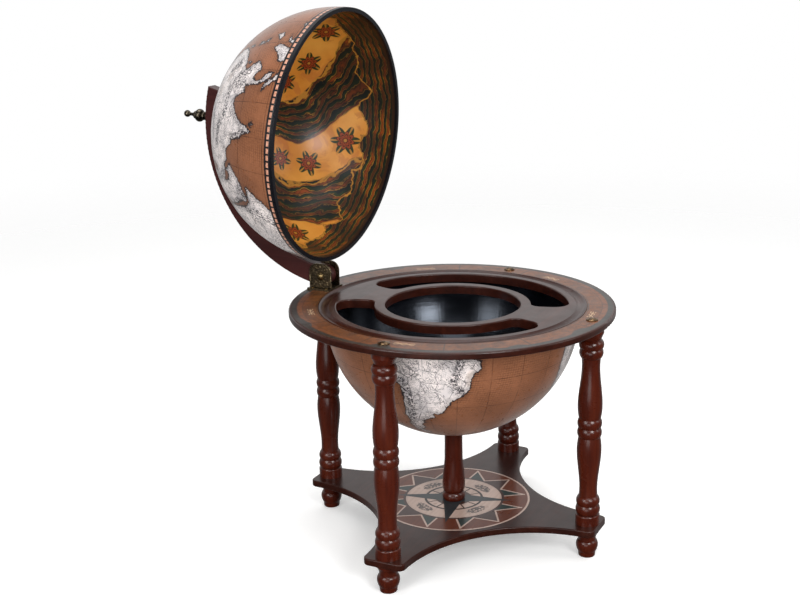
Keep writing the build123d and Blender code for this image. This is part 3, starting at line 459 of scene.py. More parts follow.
def outline_distance(lon, lat, outline):
    """Degrees from each place to a closed outline, positive inside it."""
    loop = np.array(outline)
    middle = loop.real.mean()
    east = (lon - middle + 180) % 360 - 180 + middle
    shrink = np.cos(np.radians(lat))
    nearest = np.full(lon.shape, 1e9)
    inside = np.zeros(lon.shape, bool)
    for a, b in zip(loop, np.roll(loop, -1)):
        way = b - a
        nearest = np.minimum(nearest, segment_distance(east - a.real, lat - a.imag, shrink, way))
        if way.imag:
            crosses = (a.imag > lat) != (b.imag > lat)
            inside ^= crosses & (east < a.real + (lat - a.imag) * way.real / way.imag)
    return np.where(inside, nearest, -nearest)


def range_distance(lon, lat):
    """Degrees from each place to the nearest mountain range."""
    nearest = np.full(lon.shape, FAR)
    shrink = np.cos(np.radians(lat))
    for crest in RANGES:
        for a, b in zip(crest, crest[1:]):
            east = (lon - a.real + 180) % 360 - 180
            nearest = np.minimum(nearest, segment_distance(east, lat - a.imag, shrink, b - a))
    return nearest


def coast_distance(lon, lat):
    """Degrees inside the nearest coast, negative at sea."""
    land = ANTARCTIC_COAST + 2.5 * np.sin(np.radians(2 * lon)) - lat
    for outline in COASTS.values():
        south, north = min(c.imag for c in outline), max(c.imag for c in outline)
        near = (lat > south - COAST_REACH) & (lat < north + COAST_REACH)
        if near.any():
            land[near] = np.maximum(land[near], outline_distance(lon[near], lat[near], outline))
    land = np.minimum(land, -outline_distance(lon, lat, CASPIAN))
    return np.clip(land, -10, 10)


# ---- the two halves of the globe
COLUMNS = 720
ROWS = 150
INNER_ROWS = 24
RIM_H = 3.7 * MM  # the dome's rim above the plane of its centre
DOME_T = 4.4 * MM
DOME_BORE = 3.4 * MM
BOWL_T = 4.0 * MM
BOWL_BORE = 2.7 * MM
DOME_TURN = -111.0  # map longitude at azimuth 0 of the closed dome
BOWL_TURN = -252.0
DOME_LIFT = 5.0  # degrees above the rim plane where the map's equator runs
BOWL_LIFT = 1.5
NO_STRIP = 99.0  # height that keeps the tile strip off the bowl
INSIDE = -10.0  # coast distance that keeps land off the inner side and the rim


def dome_map(azimuth, latitude):
    return azimuth + DOME_TURN, (latitude - DOME_LIFT) * 90 / (90 - DOME_LIFT)


def bowl_map(azimuth, latitude):
    return azimuth + BOWL_TURN, BOWL_LIFT - latitude


def shell_rows(inner, low, bore):
    """(radius, angle above the rim plane) of each row, up the outside and down the inside."""
    rows = []
    for radius, count in ((GLOBE_R, ROWS), (inner, INNER_ROWS)):
        start, end = asin(low / radius), acos(bore / radius)
        angles = [start + (end - start) * k / count for k in range(count + 1)]
        rows += [(radius, a) for a in (reversed(angles) if radius == inner else angles)]
    return rows


def globe_half(name, centre, pole, thick, low, bore, to_map, strip, body, node):
    """A half shell whose points carry the distance to the coast and their place on the map's globe."""
    up = Vector(pole).normalized()
    side = Vector((1, 0, 0))
    rows = np.array(shell_rows(GLOBE_R - thick, low, bore))
    radius, angles = rows[:, :1], rows[:, 1:]
    turn = np.arange(COLUMNS) * TAU / COLUMNS
    local = np.stack([radius * np.cos(angles) * np.cos(turn), radius * np.cos(angles) * np.sin(turn),
                      radius * np.sin(angles) * np.ones_like(turn)], axis=-1)
    points = local.reshape(-1, 3) @ np.array([side, up.cross(side), up]) + np.array(centre)
    faces = []
    for row in range(len(rows)):
        near, far = row * COLUMNS, (row + 1) % len(rows) * COLUMNS
        for col in range(COLUMNS):
            beside = (col + 1) % COLUMNS
            faces.append((near + col, near + beside, far + beside, far + col))
    mesh = bpy.data.meshes.new(name)
    mesh.from_pydata(points.tolist(), [], faces)
    azimuth = np.degrees(np.arctan2(local[..., 1], local[..., 0])).ravel()
    latitude = np.degrees(angles * np.ones_like(turn)).ravel()
    lon, lat = to_map(azimuth if up.z > 0 else -azimuth, latitude)
    coast = coast_distance(lon, lat)
    coast[(ROWS + 1) * COLUMNS:] = INSIDE
    crest = range_distance(lon, lat)
    height = np.where(strip, local[..., 2].ravel() / MM, NO_STRIP)
    lon, lat = np.radians(lon), np.radians(lat)
    place = np.stack([np.cos(lat) * np.cos(lon), np.cos(lat) * np.sin(lon), np.sin(lat)], axis=-1)
    for key, values in (("coast", coast), ("crest", crest), ("height", height), ("globe", place)):
        kind, field = ("FLOAT_VECTOR", "vector") if key == "globe" else ("FLOAT", "value")
        layer = mesh.attributes.new(key, kind, "POINT")
        layer.data.foreach_set(field, np.ravel(values).astype(np.float32))
    smooth = np.ones(len(mesh.polygons), bool)
    smooth[ROWS * COLUMNS:(ROWS + 1) * COLUMNS] = False
    smooth[-COLUMNS:] = False
    mesh.polygons.foreach_set("use_smooth", smooth)
    mesh.update()
    mesh.materials.append(PRINTED_MAP)
    half = add_object(name, mesh)
    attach(half, body)
    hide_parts(node)


# ---- printed map of the globe
INK = (0.022, 0.016, 0.017)
LAND_INK = (0.02, 0.017, 0.024)
SEA_INK = (0.052, 0.019, 0.01)
PAPER = (0.88, 0.8, 0.775)
PAPER_GREY = (0.5, 0.475, 0.49)
PAPER_STAIN = (0.4, 0.25, 0.16)
SEA = (0.315, 0.124, 0.059)
SEA_DARK = (0.15, 0.056, 0.025)
TILE = (0.62, 0.33, 0.235)
TILE_WORN = (0.42, 0.18, 0.105)
BLACK = (0.012, 0.011, 0.012)
GRID = 15.0  # degrees between the map's grid lines
SHORE_LINES = 0.9  # degrees between the lines off the coast
WEAVE = 1.15  # degrees between the threads of the sea's ground
HATCH_LINES = 1.3
STRIP_LINE_H = 5.1  # heights above the dome's centre in mm
STRIP_TILE_H = 8.4
STRIP_TOP_H = 11.1
STRIP_SOFT = 0.25
TILES = 120
TILE_HALF = 0.355  # half of a tile, as a share of its step


def globe_print():
    """The printed paper map under lacquer: sea, land with ink work, grid lines and the tile strip."""
    s = Shader("printed_map")
    globe = s.attribute("globe", "Vector")
    coast = s.attribute("coast") + (s.noise(globe, 15, 5) - 0.5) * 3.0 + (s.noise(globe, 70) - 0.5) * 2.2
    x, y, z = s.split(globe)
    lon, lat = angle(y, x) * DEG, z.asin() * DEG
    shrink = (1.0 - z * z).high(0.0001).power(0.5)
    meridians = (lon / GRID + 0.5).off_middle() * GRID * shrink
    parallels = (lat / GRID + 0.5).off_middle() * GRID
    worn = s.noise(globe, 11, 4)
    grid = meridians.low(parallels).below(0.17, 0.16) * worn.scale(0.35, 0.6, 0.2, 0.85)

    # sea
    fibre = s.noise(s.stretch(globe, 1, 1, 14), 26)
    thread = s.noise(s.stretch(globe, 9, 9, 1), 30, 2)
    tone = s.noise(globe, 2.6, 4).scale(0.34, 0.66) * 0.46
    tone = tone + fibre.scale(0.36, 0.64) * 0.3 + thread.scale(0.36, 0.64) * 0.24
    shore_hatch = (lat / SHORE_LINES).off_middle().step(0.3, 0.12) * coast.scale(-2.4, -0.2) * 0.8
    warp = (lon * shrink / WEAVE).off_middle().step(0.38, 0.08)
    weave = (lat / WEAVE).off_middle().step(0.36, 0.08).high(warp * 0.8)
    patches = s.noise(globe, 4.5).step(0.5, 0.16)
    weave = weave * (patches * 0.46 + 0.08) * s.noise(globe, 60, 2).scale(0.3, 0.6)
    sea = s.mix(shore_hatch + weave + grid * 0.85, s.mix(tone, SEA_DARK, SEA), SEA_INK)

    # land
    paper = s.mix(s.noise(globe, 7, 5).scale(0.42, 0.72) * 0.7, PAPER, PAPER_GREY)
    paper = s.mix(s.noise(globe, 4.2, 2).step(0.66, 0.1) * 0.35, paper, PAPER_STAIN)
    borders = s.cells(globe, 8.5).below(0.014, 0.01) * s.noise(globe, 18, 2).step(0.42, 0.1)
    rivers = s.noise(globe, 5.0, 6, 0.62).line(0.5, 0.005, 0.004)
    scribble = (s.noise(globe, 30, 4, 0.62) * 12.0).off_middle().below(0.085, 0.06)
    scribble = scribble * s.noise(globe, 9).step(0.43, 0.1)
    slant = lat * 0.8 + lon * 0.5 + s.noise(globe, 12) * 9.0
    hatch = (slant / HATCH_LINES).off_middle().below(0.15, 0.1) * s.noise(globe, 6.5).step(0.5, 0.07)
    crest = s.attribute("crest") + (s.noise(globe, 20) - 0.5) * 5.0
    peaks = s.noise(s.stretch(globe, 1, 1, 0.6), 78, 2, 0.5, 0.7).step(0.5, 0.05) * crest.below(2.0, 2.0)
    forest = s.noise(globe, 130, 1).step(0.57, 0.06) * s.noise(globe, 5.5, 2).step(0.56, 0.08)
    towns = s.cells(globe, 26, "F1").below(0.13, 0.05) * s.noise(globe, 13, 1).step(0.48, 0.05)
    shore = coast.line(1.0, 1.0, 1.6) * 0.34
    ink = towns.high(borders * 0.9, rivers * 0.9, peaks * 0.95, scribble * 0.74, hatch * 0.7, forest * 0.6,
                     grid * 0.6, shore)
    colour = s.mix(coast.step(0.0, 0.16), sea, s.mix(ink, paper, LAND_INK))
    coastline = coast.line(-0.1, 0.36, 0.24)
    colour = s.mix(coastline, colour, INK)

    # tile strip at the dome's rim
    height = s.attribute("height")
    tile = (lon * (TILES / 360)).off_middle().below(TILE_HALF, 0.04)
    tile = tile * height.band(STRIP_LINE_H, STRIP_TILE_H, STRIP_SOFT)
    tile_tone = s.mix(s.noise(globe, 60, 2).scale(0.35, 0.65), TILE_WORN, TILE)
    colour = s.mix(height.below(STRIP_TOP_H, STRIP_SOFT), colour, s.mix(tile, BLACK, tile_tone))
    return s.finish(
        Base_Color=colour, Roughness=s.noise(globe, 30).spread(0.26, 0.38),
        Normal=s.bump(s.noise(globe, 220, 2) + coastline * 0.4, 0.00003),
        Coat_Weight=0.45, Coat_Roughness=0.24, Coat_IOR=1.36,
        Specular_IOR_Level=0.16, Sheen_Weight=0.12, Sheen_Roughness=0.4)


PRINTED_MAP = globe_print()
globe_half("upper_globe", DOME_CENTRE, POLE, DOME_T, RIM_H, DOME_BORE, dome_map, True,
           "dome", "upper_dome_shell")
globe_half("lower_globe", LOWER_CENTRE, (0, 0, -1), BOWL_T, BOWL_RIM_H, BOWL_BORE, bowl_map, False,
           "stand", "lower_globe_shell")


# ---- wood, metal and plain finishes
# The dark, middle and light tone of each wood.
TURNED_WOOD = ((0.034, 0.0043, 0.0015), (0.058, 0.0074, 0.0023), (0.084, 0.013, 0.0038))
BOARD_WOOD = ((0.015, 0.003, 0.0016), (0.028, 0.0058, 0.003), (0.046, 0.01, 0.005))
ARM_WOOD = ((0.034, 0.0085, 0.0085), (0.047, 0.011, 0.0105), (0.062, 0.0155, 0.014))


def mahogany(name, along, tones, gloss=0.24, coat=0.42, coat_rough=0.25):
    """Stained and lacquered mahogany with its grain along one axis, and painted shade darkening its
    grooves.
    """
    s = Shader(name)
    place = s.position()

    def drawn_out(squeeze):
        """Coordinates that draw a pattern out along the grain."""
        axes = [1.0, 1.0, 1.0]
        axes[along] = squeeze
        return s.stretch(place, *axes)

    fibre = s.noise(drawn_out(0.055), 230, 4)
    figure = s.noise(drawn_out(0.16), 34, 3, 0.5, 0.9)
    pores = s.noise(drawn_out(0.035), 900, 1).step(0.62, 0.06)
    tone = fibre.spread() * 0.45 + figure.spread() * 0.55
    colour = s.ramp(tone, (0.02, tones[0]), (0.5, tones[1]), (1.0, tones[2]))
    colour = s.mix(pores * 0.22, colour, tones[0])
    # painted shade: the wood's colour is pulled towards near black in its grooves, by how enclosed they are
    # (ambient occlusion)
    painted_crevice_shade = s.crevice(0.012).scale(0.1, 0.5)
    colour = s.mix(painted_crevice_shade * 0.85, colour, [0.35 * part for part in tones[0]])
    return s.finish(
        Base_Color=colour, Roughness=s.noise(place, 40).spread(gloss, gloss + 0.1),
        Normal=s.bump(fibre + pores * -0.5, 0.000006, 0.3),
        Coat_Weight=coat, Coat_Roughness=coat_rough, Coat_IOR=1.45, Specular_IOR_Level=0.14)


def antique_brass(name, bright, dark, patina=0.5):
    """Cast brass with a dark patina that is rubbed bright in places."""
    s = Shader(name)
    place = s.position()
    worn = s.noise(place, 330, 4, 0.6)
    pits = s.noise(place, 900, 2)
    colour = s.mix(worn.step(patina, 0.3), dark, bright)
    colour = s.mix(pits.step(0.62, 0.08) * 0.6, colour, dark)
    colour = s.mix(s.crevice(0.004).scale(0.15, 0.6) * 0.8, colour, [0.4 * part for part in dark])
    return s.finish(
        Base_Color=colour, Metallic=1.0, Roughness=worn.spread(0.42, 0.24),
        Normal=s.bump(pits + worn * 0.8, 0.00012, 0.8))


def black_lacquer():
    """Brushed black lacquer of the bowl's liner."""
    s = Shader("brushed_black_lacquer")
    radius, azimuth = polar(s)
    _, _, height = s.split(s.position())
    brush = s.noise(s.join(azimuth * 0.045, height * 620.0, radius * 0.35), 1.0, 4)
    strokes = s.noise(s.join(azimuth * 1.5, height * 14.0, 0.0), 1.0, 3, 0.6)
    blot = s.noise(s.position(), 26, 4)
    colour = s.mix(brush.spread(), (0.0008, 0.001, 0.0017), (0.0028, 0.0035, 0.006))
    return s.finish(
        Base_Color=colour, Roughness=(brush * 0.5 + blot * 0.5).spread(0.12, 0.25),
        Normal=s.bump(brush * 0.45 + strokes * 0.5 + blot * 0.3, 0.00024, 0.8),
        Specular_IOR_Level=0.36, Specular_Tint=(0.76, 0.85, 1.0))


def black_edging():
    """Satin black of the dome's rim and hub."""
    s = Shader("black_edging")
    speck = s.noise(s.position(), 420)
    colour = s.mix(speck, (0.003, 0.0031, 0.0045), (0.0078, 0.008, 0.0115))
    return s.finish(
        Base_Color=colour, Roughness=speck.spread(0.26, 0.38),
        Normal=s.bump(speck, 0.00003), Specular_IOR_Level=0.22)


def zinc_steel():
    s = Shader("zinc_steel")
    place = s.position()
    spangle = s.cells(place, 700, "F1")
    return s.finish(
        Base_Color=s.mix(spangle, (0.42, 0.43, 0.45), (0.62, 0.63, 0.65)), Metallic=1.0,
        Roughness=s.noise(place, 300, 2).spread(0.26, 0.42), Normal=s.bump(spangle, 0.00003))


# ---- printed ring of the table
RING_IN = 174.4  # radii in mm
RING_RULE = 193.2  # dark rule between the fields and the lighter strip
RING_FIELD = 200.6  # seam between the strip and the border
RING_TICKS = (201.7, 205.3)
RING_EDGE_RULE = 206.2
RING_BROWN_EDGE = 207.2
RING_FIELDS = 12
RING_TURN = 8.0
RING_TICK_STEP = 2.5  # degrees
RING_GOLD = (1, 4, 6, -6, -3, -1)  # gilt fields, counted both ways from azimuth 0
RING_GROUND = (0.195, 0.06, 0.0125)
RING_GROUND_DARK = (0.044, 0.0125, 0.0042)
RING_STRIP = (0.12, 0.04, 0.02)
RING_BORDER = (0.042, 0.036, 0.031)
RING_BORDER_DARK = (0.009, 0.008, 0.0068)
RING_BROWN = (0.04, 0.016, 0.011)
RING_INK = (0.022, 0.012, 0.0085)
GOLD_INK = (0.62, 0.42, 0.24)
RING_ROSETTE_R = 4.6  # sizes of a field's ornament, in mm
RING_SCROLL_AT = 17.0
RING_SCROLL_PITCH = 3.1
RING_SCROLL_R = 7.2
RING_TENDRIL = (24.5, 43.0)
RING_LEAVES = (25.5, 42.0)
RING_LOOPS = 13.0


def ring_print():
    """Aged print: twelve fields with scrolls, a lighter strip round them and a clouded grey border."""
    s = Shader("printed_ring")
    place = s.position()
    radius, azimuth = polar(s)
    mottle = s.noise(place, 170, 4, 0.6)
    burl = s.noise(place, 95, 6, 0.75)
    figure = s.noise(place, 22, 5).scale(0.36, 0.64) * 0.4 + burl.scale(0.38, 0.62) * 0.6
    ground = s.mix(figure, RING_GROUND_DARK, RING_GROUND)
    sector = 360.0 / RING_FIELDS
    count = (azimuth + RING_TURN) / sector
    within = (count.fraction() - 0.5) * sector
    across = within * RAD * radius
    up = radius - (RING_IN + RING_RULE) / 2

    # centre rosette, then a scroll, a tendril and leaves to each side of it
    petals = (angle(up, across) * 6.0).cos() * 0.9 + RING_ROSETTE_R
    rosette = (length(across, up) - petals).abs().below(0.45, 0.5)
    side = across.abs() - RING_SCROLL_AT
    coil = length(side, up)
    scroll = (coil / RING_SCROLL_PITCH - angle(up, side) / TAU).off_middle().below(0.15, 0.12)
    scroll = scroll * coil.below(RING_SCROLL_R, 0.8)
    tendril = (up - (across * 0.22).sin() * 3.2).abs().below(0.45, 0.5)
    tendril = tendril * across.abs().band(*RING_TENDRIL, 1.0)
    leaves = (up.abs() - (across * 0.55).sin().abs() * 3.6).abs().below(0.4, 0.5)
    leaves = leaves * across.abs().band(*RING_LEAVES, 1.0)
    ink = rosette.high(scroll, tendril, leaves * 0.8) * s.noise(place, 260, 2).scale(0.3, 0.6, 0.45, 1.0)
    rules = radius.line(RING_IN + 1.2, 0.5, 0.4).high(radius.line(RING_RULE, 0.3, 0.3))
    strip = s.mix(s.noise(place, 60), RING_GROUND, RING_STRIP)
    strip = s.mix(mottle.scale(0.42, 0.7) * 0.7, strip, RING_GROUND_DARK)
    field = s.mix(radius.step(RING_RULE, 0.3), ground, strip)
    field = s.mix((ink * 0.66).high(rules * 0.85), field, RING_INK)

    # gilt flourish of loops in some of the fields
    first, *others = (count.whole().line(number, 0.4, 0.1) for number in RING_GOLD)
    loops = (across * 0.3).cos().abs() * 3.4
    flourish = (up.abs() - loops).abs().below(0.55, 0.4).high(up.abs().below(0.45, 0.4))
    flourish = flourish * across.abs().below(RING_LOOPS, 0.8) * first.high(*others)
    field = s.mix(flourish * mottle.scale(0.3, 0.55, 0.3, 0.85), field, GOLD_INK)

    # graduated border with clouds that reach into the strip
    cloud = s.noise(place, 19, 2, 0.4)
    clouded = cloud.scale(0.35, 0.65) * 0.45 + mottle.scale(0.36, 0.64) * 0.55
    border = s.mix(clouded, RING_BORDER_DARK, RING_BORDER)
    ticks = ((azimuth + RING_TURN) / RING_TICK_STEP).off_middle().below(0.05, 0.04)
    ticks = ticks * radius.band(*RING_TICKS, 0.3)
    border = s.mix(ticks.high(radius.line(RING_EDGE_RULE, 0.28, 0.25)) * 0.8, border, RING_INK)
    border = s.mix(radius.step(RING_BROWN_EDGE, 0.5), border, RING_BROWN)
    reach_in = ((cloud - 0.55) * 60.0).high(0.0).low(7.0)
    colour = s.mix((radius + reach_in).step(RING_FIELD, 0.7), field, border)
    divider = ((within.abs() - sector / 2).abs() * RAD * radius).below(0.75, 0.4)
    colour = s.mix((radius.line(RING_FIELD, 0.3, 0.3) * 0.7).high(divider * 0.9), colour, RING_INK)
    return s.finish(
        Base_Color=colour, Roughness=s.noise(place, 35).spread(0.3, 0.4),
        Normal=s.bump(s.noise(place, 300, 2) + ink, 0.00003), Specular_IOR_Level=0.18,
        Coat_Weight=0.36, Coat_Roughness=0.16, Coat_IOR=1.33)


# ---- compass rose let into the shelf
ROSE_TURN = 163.0
ROSE_LINE = (99.8, 102.5)  # inner and outer radii in mm
ROSE_ZONE = (68.0, 97.0)  # where the zigzag runs
ROSE_ZIG_HALF = 1.15  # half the width of the zigzag
ROSE_TIP = 79.0
ROSE_SLOPE = 0.182
ROSE_DISC = (39.5, 64.5)
ROSE_HUB_RING = (36.3, 39.5)
ROSE_HUB = (24.5, 36.3)
ROSE_BAR_AT = 30.0  # degrees from a point of the star to the bars of the hub
ROSE_SPRAY_R = 50.0
ROSE_TEETH = ((11.0, 68.5), (13.0, 95.5), (30.0, 69.5), (45.0, 96.5))  # corners: degrees and radius
ROSE_CREAM = ((0.47, 0.335, 0.275), (0.58, 0.435, 0.37))  # each wood's two tones
ROSE_RUST = ((0.062, 0.015, 0.007), (0.16, 0.036, 0.0105))
ROSE_TEAL = ((0.01, 0.022, 0.019), (0.022, 0.036, 0.034))
ROSE_GREY = ((0.038, 0.016, 0.013), (0.06, 0.027, 0.023))
ROSE_STAR = ((0.016, 0.02, 0.023), (0.03, 0.038, 0.042))
ROSE_INK = (0.026, 0.02, 0.02)
ROSE_THIN_LINE = (0.1, 0.05, 0.035)
ROSE_HUB_WOOD = (0.045, 0.02, 0.015)
ROSE_HUB_RING_WOOD = (0.024, 0.011, 0.009)


def compass_print():
    """Four pointed star in a cream disc, ringed by a zigzag of inlaid teeth."""
    s = Shader("inlaid_compass_rose")
    place = s.position()
    radius, azimuth = polar(s)
    folded = ((azimuth + ROSE_TURN) / 90.0 + 0.5).off_middle() * (pi / 2)
    off_point = folded * DEG
    u, v = radius * folded.cos(), radius * folded.sin()

    def side_of(first, second):
        """Millimetres from the line through two (angle, radius) points, positive outside it."""
        (ax, ay), (bx, by) = [(r * cos(radians(a)), r * sin(radians(a))) for a, r in (first, second)]
        nx, ny = by - ay, ax - bx
        span = hypot(nx, ny)
        return (u * (nx / span) + v * (ny / span)) - (ax * nx + ay * ny) / span

    flank, slope, middle = (side_of(ROSE_TEETH[k], ROSE_TEETH[k + 1]) for k in range(3))
    wood = s.noise(s.stretch(place, 0.08, 1, 1), 260)
    rust, teal, grey = (s.mix(wood, *tones) for tones in (ROSE_RUST, ROSE_TEAL, ROSE_GREY))
    cream = s.mix(wood.spread(), *ROSE_CREAM)

    # teeth and the zigzag round them
    first_tooth = off_point.band(ROSE_TEETH[0][0] + 1, ROSE_TEETH[2][0], 0.1)
    past_valley = off_point.step(ROSE_TEETH[2][0], 0.1)
    field = s.mix(slope.below(0.0, 0.2) * first_tooth, rust, teal)
    field = s.mix(middle.below(0.0, 0.2) * past_valley, field, grey)
    zig = (flank.abs().below(ROSE_ZIG_HALF, 0.3) * off_point.below(20.0, 0.2)).high(
        slope.abs().below(ROSE_ZIG_HALF, 0.3) * first_tooth,
        middle.abs().below(ROSE_ZIG_HALF, 0.3) * past_valley) * radius.band(*ROSE_ZONE, 0.4)
    field = s.mix(radius.below(ROSE_ZONE[0], 0.4), field, grey)
    field = s.mix(zig.high(radius.band(*ROSE_LINE, 0.3)), field, cream)

    # cream disc with a small spray between the points
    spray_u = radius - ROSE_SPRAY_R
    spray_v = (off_point - 45.0) * RAD * radius
    patch = (spray_u * spray_u / 60.0 + spray_v * spray_v / 260.0).root().below(0.95, 0.16)
    veins = (spray_u.abs() - (spray_v * 0.55).sin().abs() * 6.0).abs().below(1.1, 0.6)
    smudge = s.noise(place, 300, 2).step(0.49, 0.08)
    spray = veins.high(spray_u.abs().below(0.9, 0.4), smudge * 0.9) * patch
    disc = s.mix(spray * 0.92, cream, ROSE_INK)
    disc = s.mix(radius.line(ROSE_DISC[1] - 1.5, 0.2, 0.25) * 0.35, disc, ROSE_THIN_LINE)
    field = s.mix(radius.band(*ROSE_DISC, 0.4), field, disc)

    # hub: dark ring and cream segments
    bars = ((off_point - ROSE_BAR_AT).abs() * RAD * radius).step(1.0, 0.3)
    field = s.mix(radius.below(ROSE_DISC[0], 0.3), field, ROSE_HUB_WOOD)
    field = s.mix(radius.band(*ROSE_HUB, 0.3) * bars, field, cream)
    field = s.mix(radius.band(*ROSE_HUB_RING, 0.3), field, ROSE_HUB_RING_WOOD)

    star = (v - (ROSE_TIP - u) * ROSE_SLOPE).below(0.0, 0.3) * u.below(ROSE_TIP, 0.4)
    field = s.mix(star, field, s.mix(wood, *ROSE_STAR))
    return s.finish(
        Base_Color=field, Roughness=s.noise(place, 50).spread(0.26, 0.36),
        Normal=s.bump(wood + zig * 0.4, 0.00003), Specular_IOR_Level=0.18,
        Coat_Weight=0.42, Coat_Roughness=0.12, Coat_IOR=1.34)


# ---- painted lining of the dome
AMBER = (0.8, 0.36, 0.06)
AMBER_DEEP = (0.6, 0.215, 0.026)
AMBER_CLOUD = (0.46, 0.13, 0.03)
LINING_GREEN = (0.02, 0.036, 0.01)
LINING_TEAL = (0.008, 0.011, 0.01)
LINING_RUST = (0.28, 0.058, 0.01)
LINING_UMBER = (0.036, 0.013, 0.004)
LINING_OCHRE = (0.46, 0.2, 0.028)
LINING_RED = (0.34, 0.04, 0.012)
LINING_RIM = (0.03, 0.014, 0.008)
LINING_RIM_AT = 87.0  # degrees from the pole
SWIRLS = 5
SWIRL_LEAN = 0.052  # how fast the bands turn about the pole on their way to the rim
SWIRL_SWAY = 0.6
SWIRL_SWAY_STEP = 0.11
SWIRL_TURN = 2.7
BAND_START = 0.44  # share of a swirl that is plain amber
STRIPES = ((0.00, LINING_TEAL), (0.18, LINING_GREEN), (0.32, LINING_GREEN), (0.39, LINING_OCHRE),
           (0.45, LINING_UMBER), (0.6, LINING_RUST), (0.69, LINING_RUST), (0.77, LINING_UMBER),
           (0.85, LINING_OCHRE), (0.9, LINING_TEAL))
STRANDS = 6.0  # repeats of the stripes across a band
BORDER = 72.0  # where the waved border at the rim starts
BORDER_STRANDS = 0.3  # repeats of its stripes in a degree
ROSETTES = ((64.0, 5.0), (48.5, 4.4), (34.0, 3.9), (20.0, 3.3))  # degrees from the pole, and size
LEAF_TURN = 1.2


def painted_lining():
    """Amber lining with five bands of fine waves swirling to the rim and small rosettes between them."""
    s = Shader("painted_lining")
    place = s.position()
    x, y, z = s.split(place)
    x, y, z = x - DOME_CENTRE.x, y - DOME_CENTRE.y, z - DOME_CENTRE.z
    side = POLE.cross(Vector((1, 0, 0)))
    ahead = y * side.y + z * side.z
    height = y * POLE.y + z * POLE.z
    down = angle(length(x, ahead), height) * DEG       # 0 at the pole, 90 at the rim
    around = angle(ahead, x)
    wander = s.noise(place, 15) - 0.5
    sway = (down * SWIRL_SWAY_STEP).sin() * SWIRL_SWAY
    phase = around * SWIRLS + SWIRL_TURN + down * SWIRL_LEAN + sway + wander * 1.7
    phase = (phase / TAU).fraction()
    varnish = s.noise(place, 12, 5)
    amber = s.mix(varnish.scale(0.34, 0.66), AMBER_DEEP, AMBER)
    amber = s.mix(s.noise(place, 30, 4, 0.6, 0.8).step(0.56, 0.08) * 0.5, amber, AMBER_CLOUD)

    # striped bands, and the border that they run into
    across = phase.scale(BAND_START, 1.0)
    ripple = s.noise(s.join(phase * 9.0, down * 0.12, around * 3.0), 1.0) - 0.5
    swell = s.noise(s.join(around.cos() * 5.0, around.sin() * 5.0, down * 0.1), 1.0, 4) - 0.5
    past_edge = down - (BORDER + (around * 20.0).sin() * 1.6 + swell * 14.0)
    border = past_edge.step(0.0, 0.5)
    strand = border.between(across * STRANDS + ripple * 1.7, down * BORDER_STRANDS + swell * 2.2).fraction()
    band = s.mix(s.noise(place, 26).step(0.46, 0.16) * 0.7, s.ramp(strand, *STRIPES), LINING_TEAL)
    foam = border.between((across + ripple * 0.5).line(0.04, 0.035, 0.03), past_edge.line(0.5, 0.35, 0.4))
    band = s.mix(foam, band, LINING_OCHRE)
    share = (phase + ripple * 0.05).step(BAND_START, 0.02) * phase.below(0.985, 0.02)
    colour = s.mix(share.high(border), amber, band)

    # rosettes with six leaves, one of each size in every swirl
    for at, size in ROSETTES:
        turn = around * SWIRLS + SWIRL_TURN + at * SWIRL_LEAN + sin(at * SWIRL_SWAY_STEP) * SWIRL_SWAY
        off = (turn / TAU).fraction() - BAND_START / 2
        beside = off * (TAU / SWIRLS) * sin(radians(at)) * DEG
        reach = length(beside, down - at)
        spin = angle(down - at, beside)
        bloom = reach / ((spin * 4.0 + 0.4).cos().abs() * 0.4 + 0.6)
        ruffle = (bloom / (size / 3.0)).fraction().step(0.68, 0.14)
        flower = s.mix(ruffle, s.mix(s.noise(place, 90, 2), LINING_RUST, LINING_RED), LINING_UMBER)
        flower = s.mix(reach.below(size * 0.16, 0.4), flower, LINING_OCHRE)
        lobes = (spin * 3.0 + LEAF_TURN).cos().abs()
        leaves = (reach - (lobes.power(1.6) * (size * 0.75) + size * 0.8)).below(0.0, 0.4)
        colour = s.mix(leaves, colour, s.mix(lobes.step(0.975, 0.02), LINING_GREEN, LINING_OCHRE))
        colour = s.mix(bloom.below(size, 0.6), colour, flower)
    colour = s.mix(down.step(LINING_RIM_AT, 1.0), colour, LINING_RIM)
    return s.finish(
        Base_Color=colour, Roughness=varnish.spread(0.34, 0.46),
        Normal=s.bump(s.noise(place, 400, 2) + share * 0.6, 0.00003), Specular_IOR_Level=0.2,
        Coat_Weight=0.42, Coat_Roughness=0.24, Coat_IOR=1.4)


# ---- finishes of the CAD nodes
BRASS_DARK = antique_brass("antique_brass_dark", (0.23, 0.172, 0.1), (0.06, 0.046, 0.029))
FINISHES = (
    (mahogany("mahogany_turned", 2, TURNED_WOOD, coat=0.62, coat_rough=0.235),
     "leg_right leg_back leg_left leg_front foot_right foot_back foot_left foot_front centre_post"),
    (mahogany("mahogany_board", 0, BOARD_WOOD, 0.28), "ring_board shelf_board drinks_tray tray_bead"),
    (mahogany("mahogany_arm", 1, ARM_WOOD, 0.34), "meridian_arm"),
    (antique_brass("antique_brass", (0.4, 0.285, 0.125), (0.058, 0.041, 0.021), 0.52),
     "hinge_bolt hinge_pin hinge_pin_cap hinge_screws"),
    (BRASS_DARK, "hinge_bracket"),
    (antique_brass("antique_brass_bronzed", (0.25, 0.16, 0.085), (0.042, 0.024, 0.014)), "table_bolts"),
    (antique_brass("antique_brass_blackened", (0.15, 0.125, 0.09), (0.018, 0.015, 0.011)),
     "finial pivot_bolt pivot_spacer pivot_washer"),
    (ring_print(), "ring_map_band"),
    (compass_print(), "compass_inlay"),
    (painted_lining(), "dome_lining"),
    (black_lacquer(), "bowl_liner"),
    (black_edging(), "dome_rim_edging dome_hub"),
    (zinc_steel(), "leg_studs leg_inserts post_washer post_top_screw post_bottom_screw"),
)
for material, names in FINISHES:
    for name in names.split():
        for slot in frame["nodes"][name].material_slots:
            slot.material = material


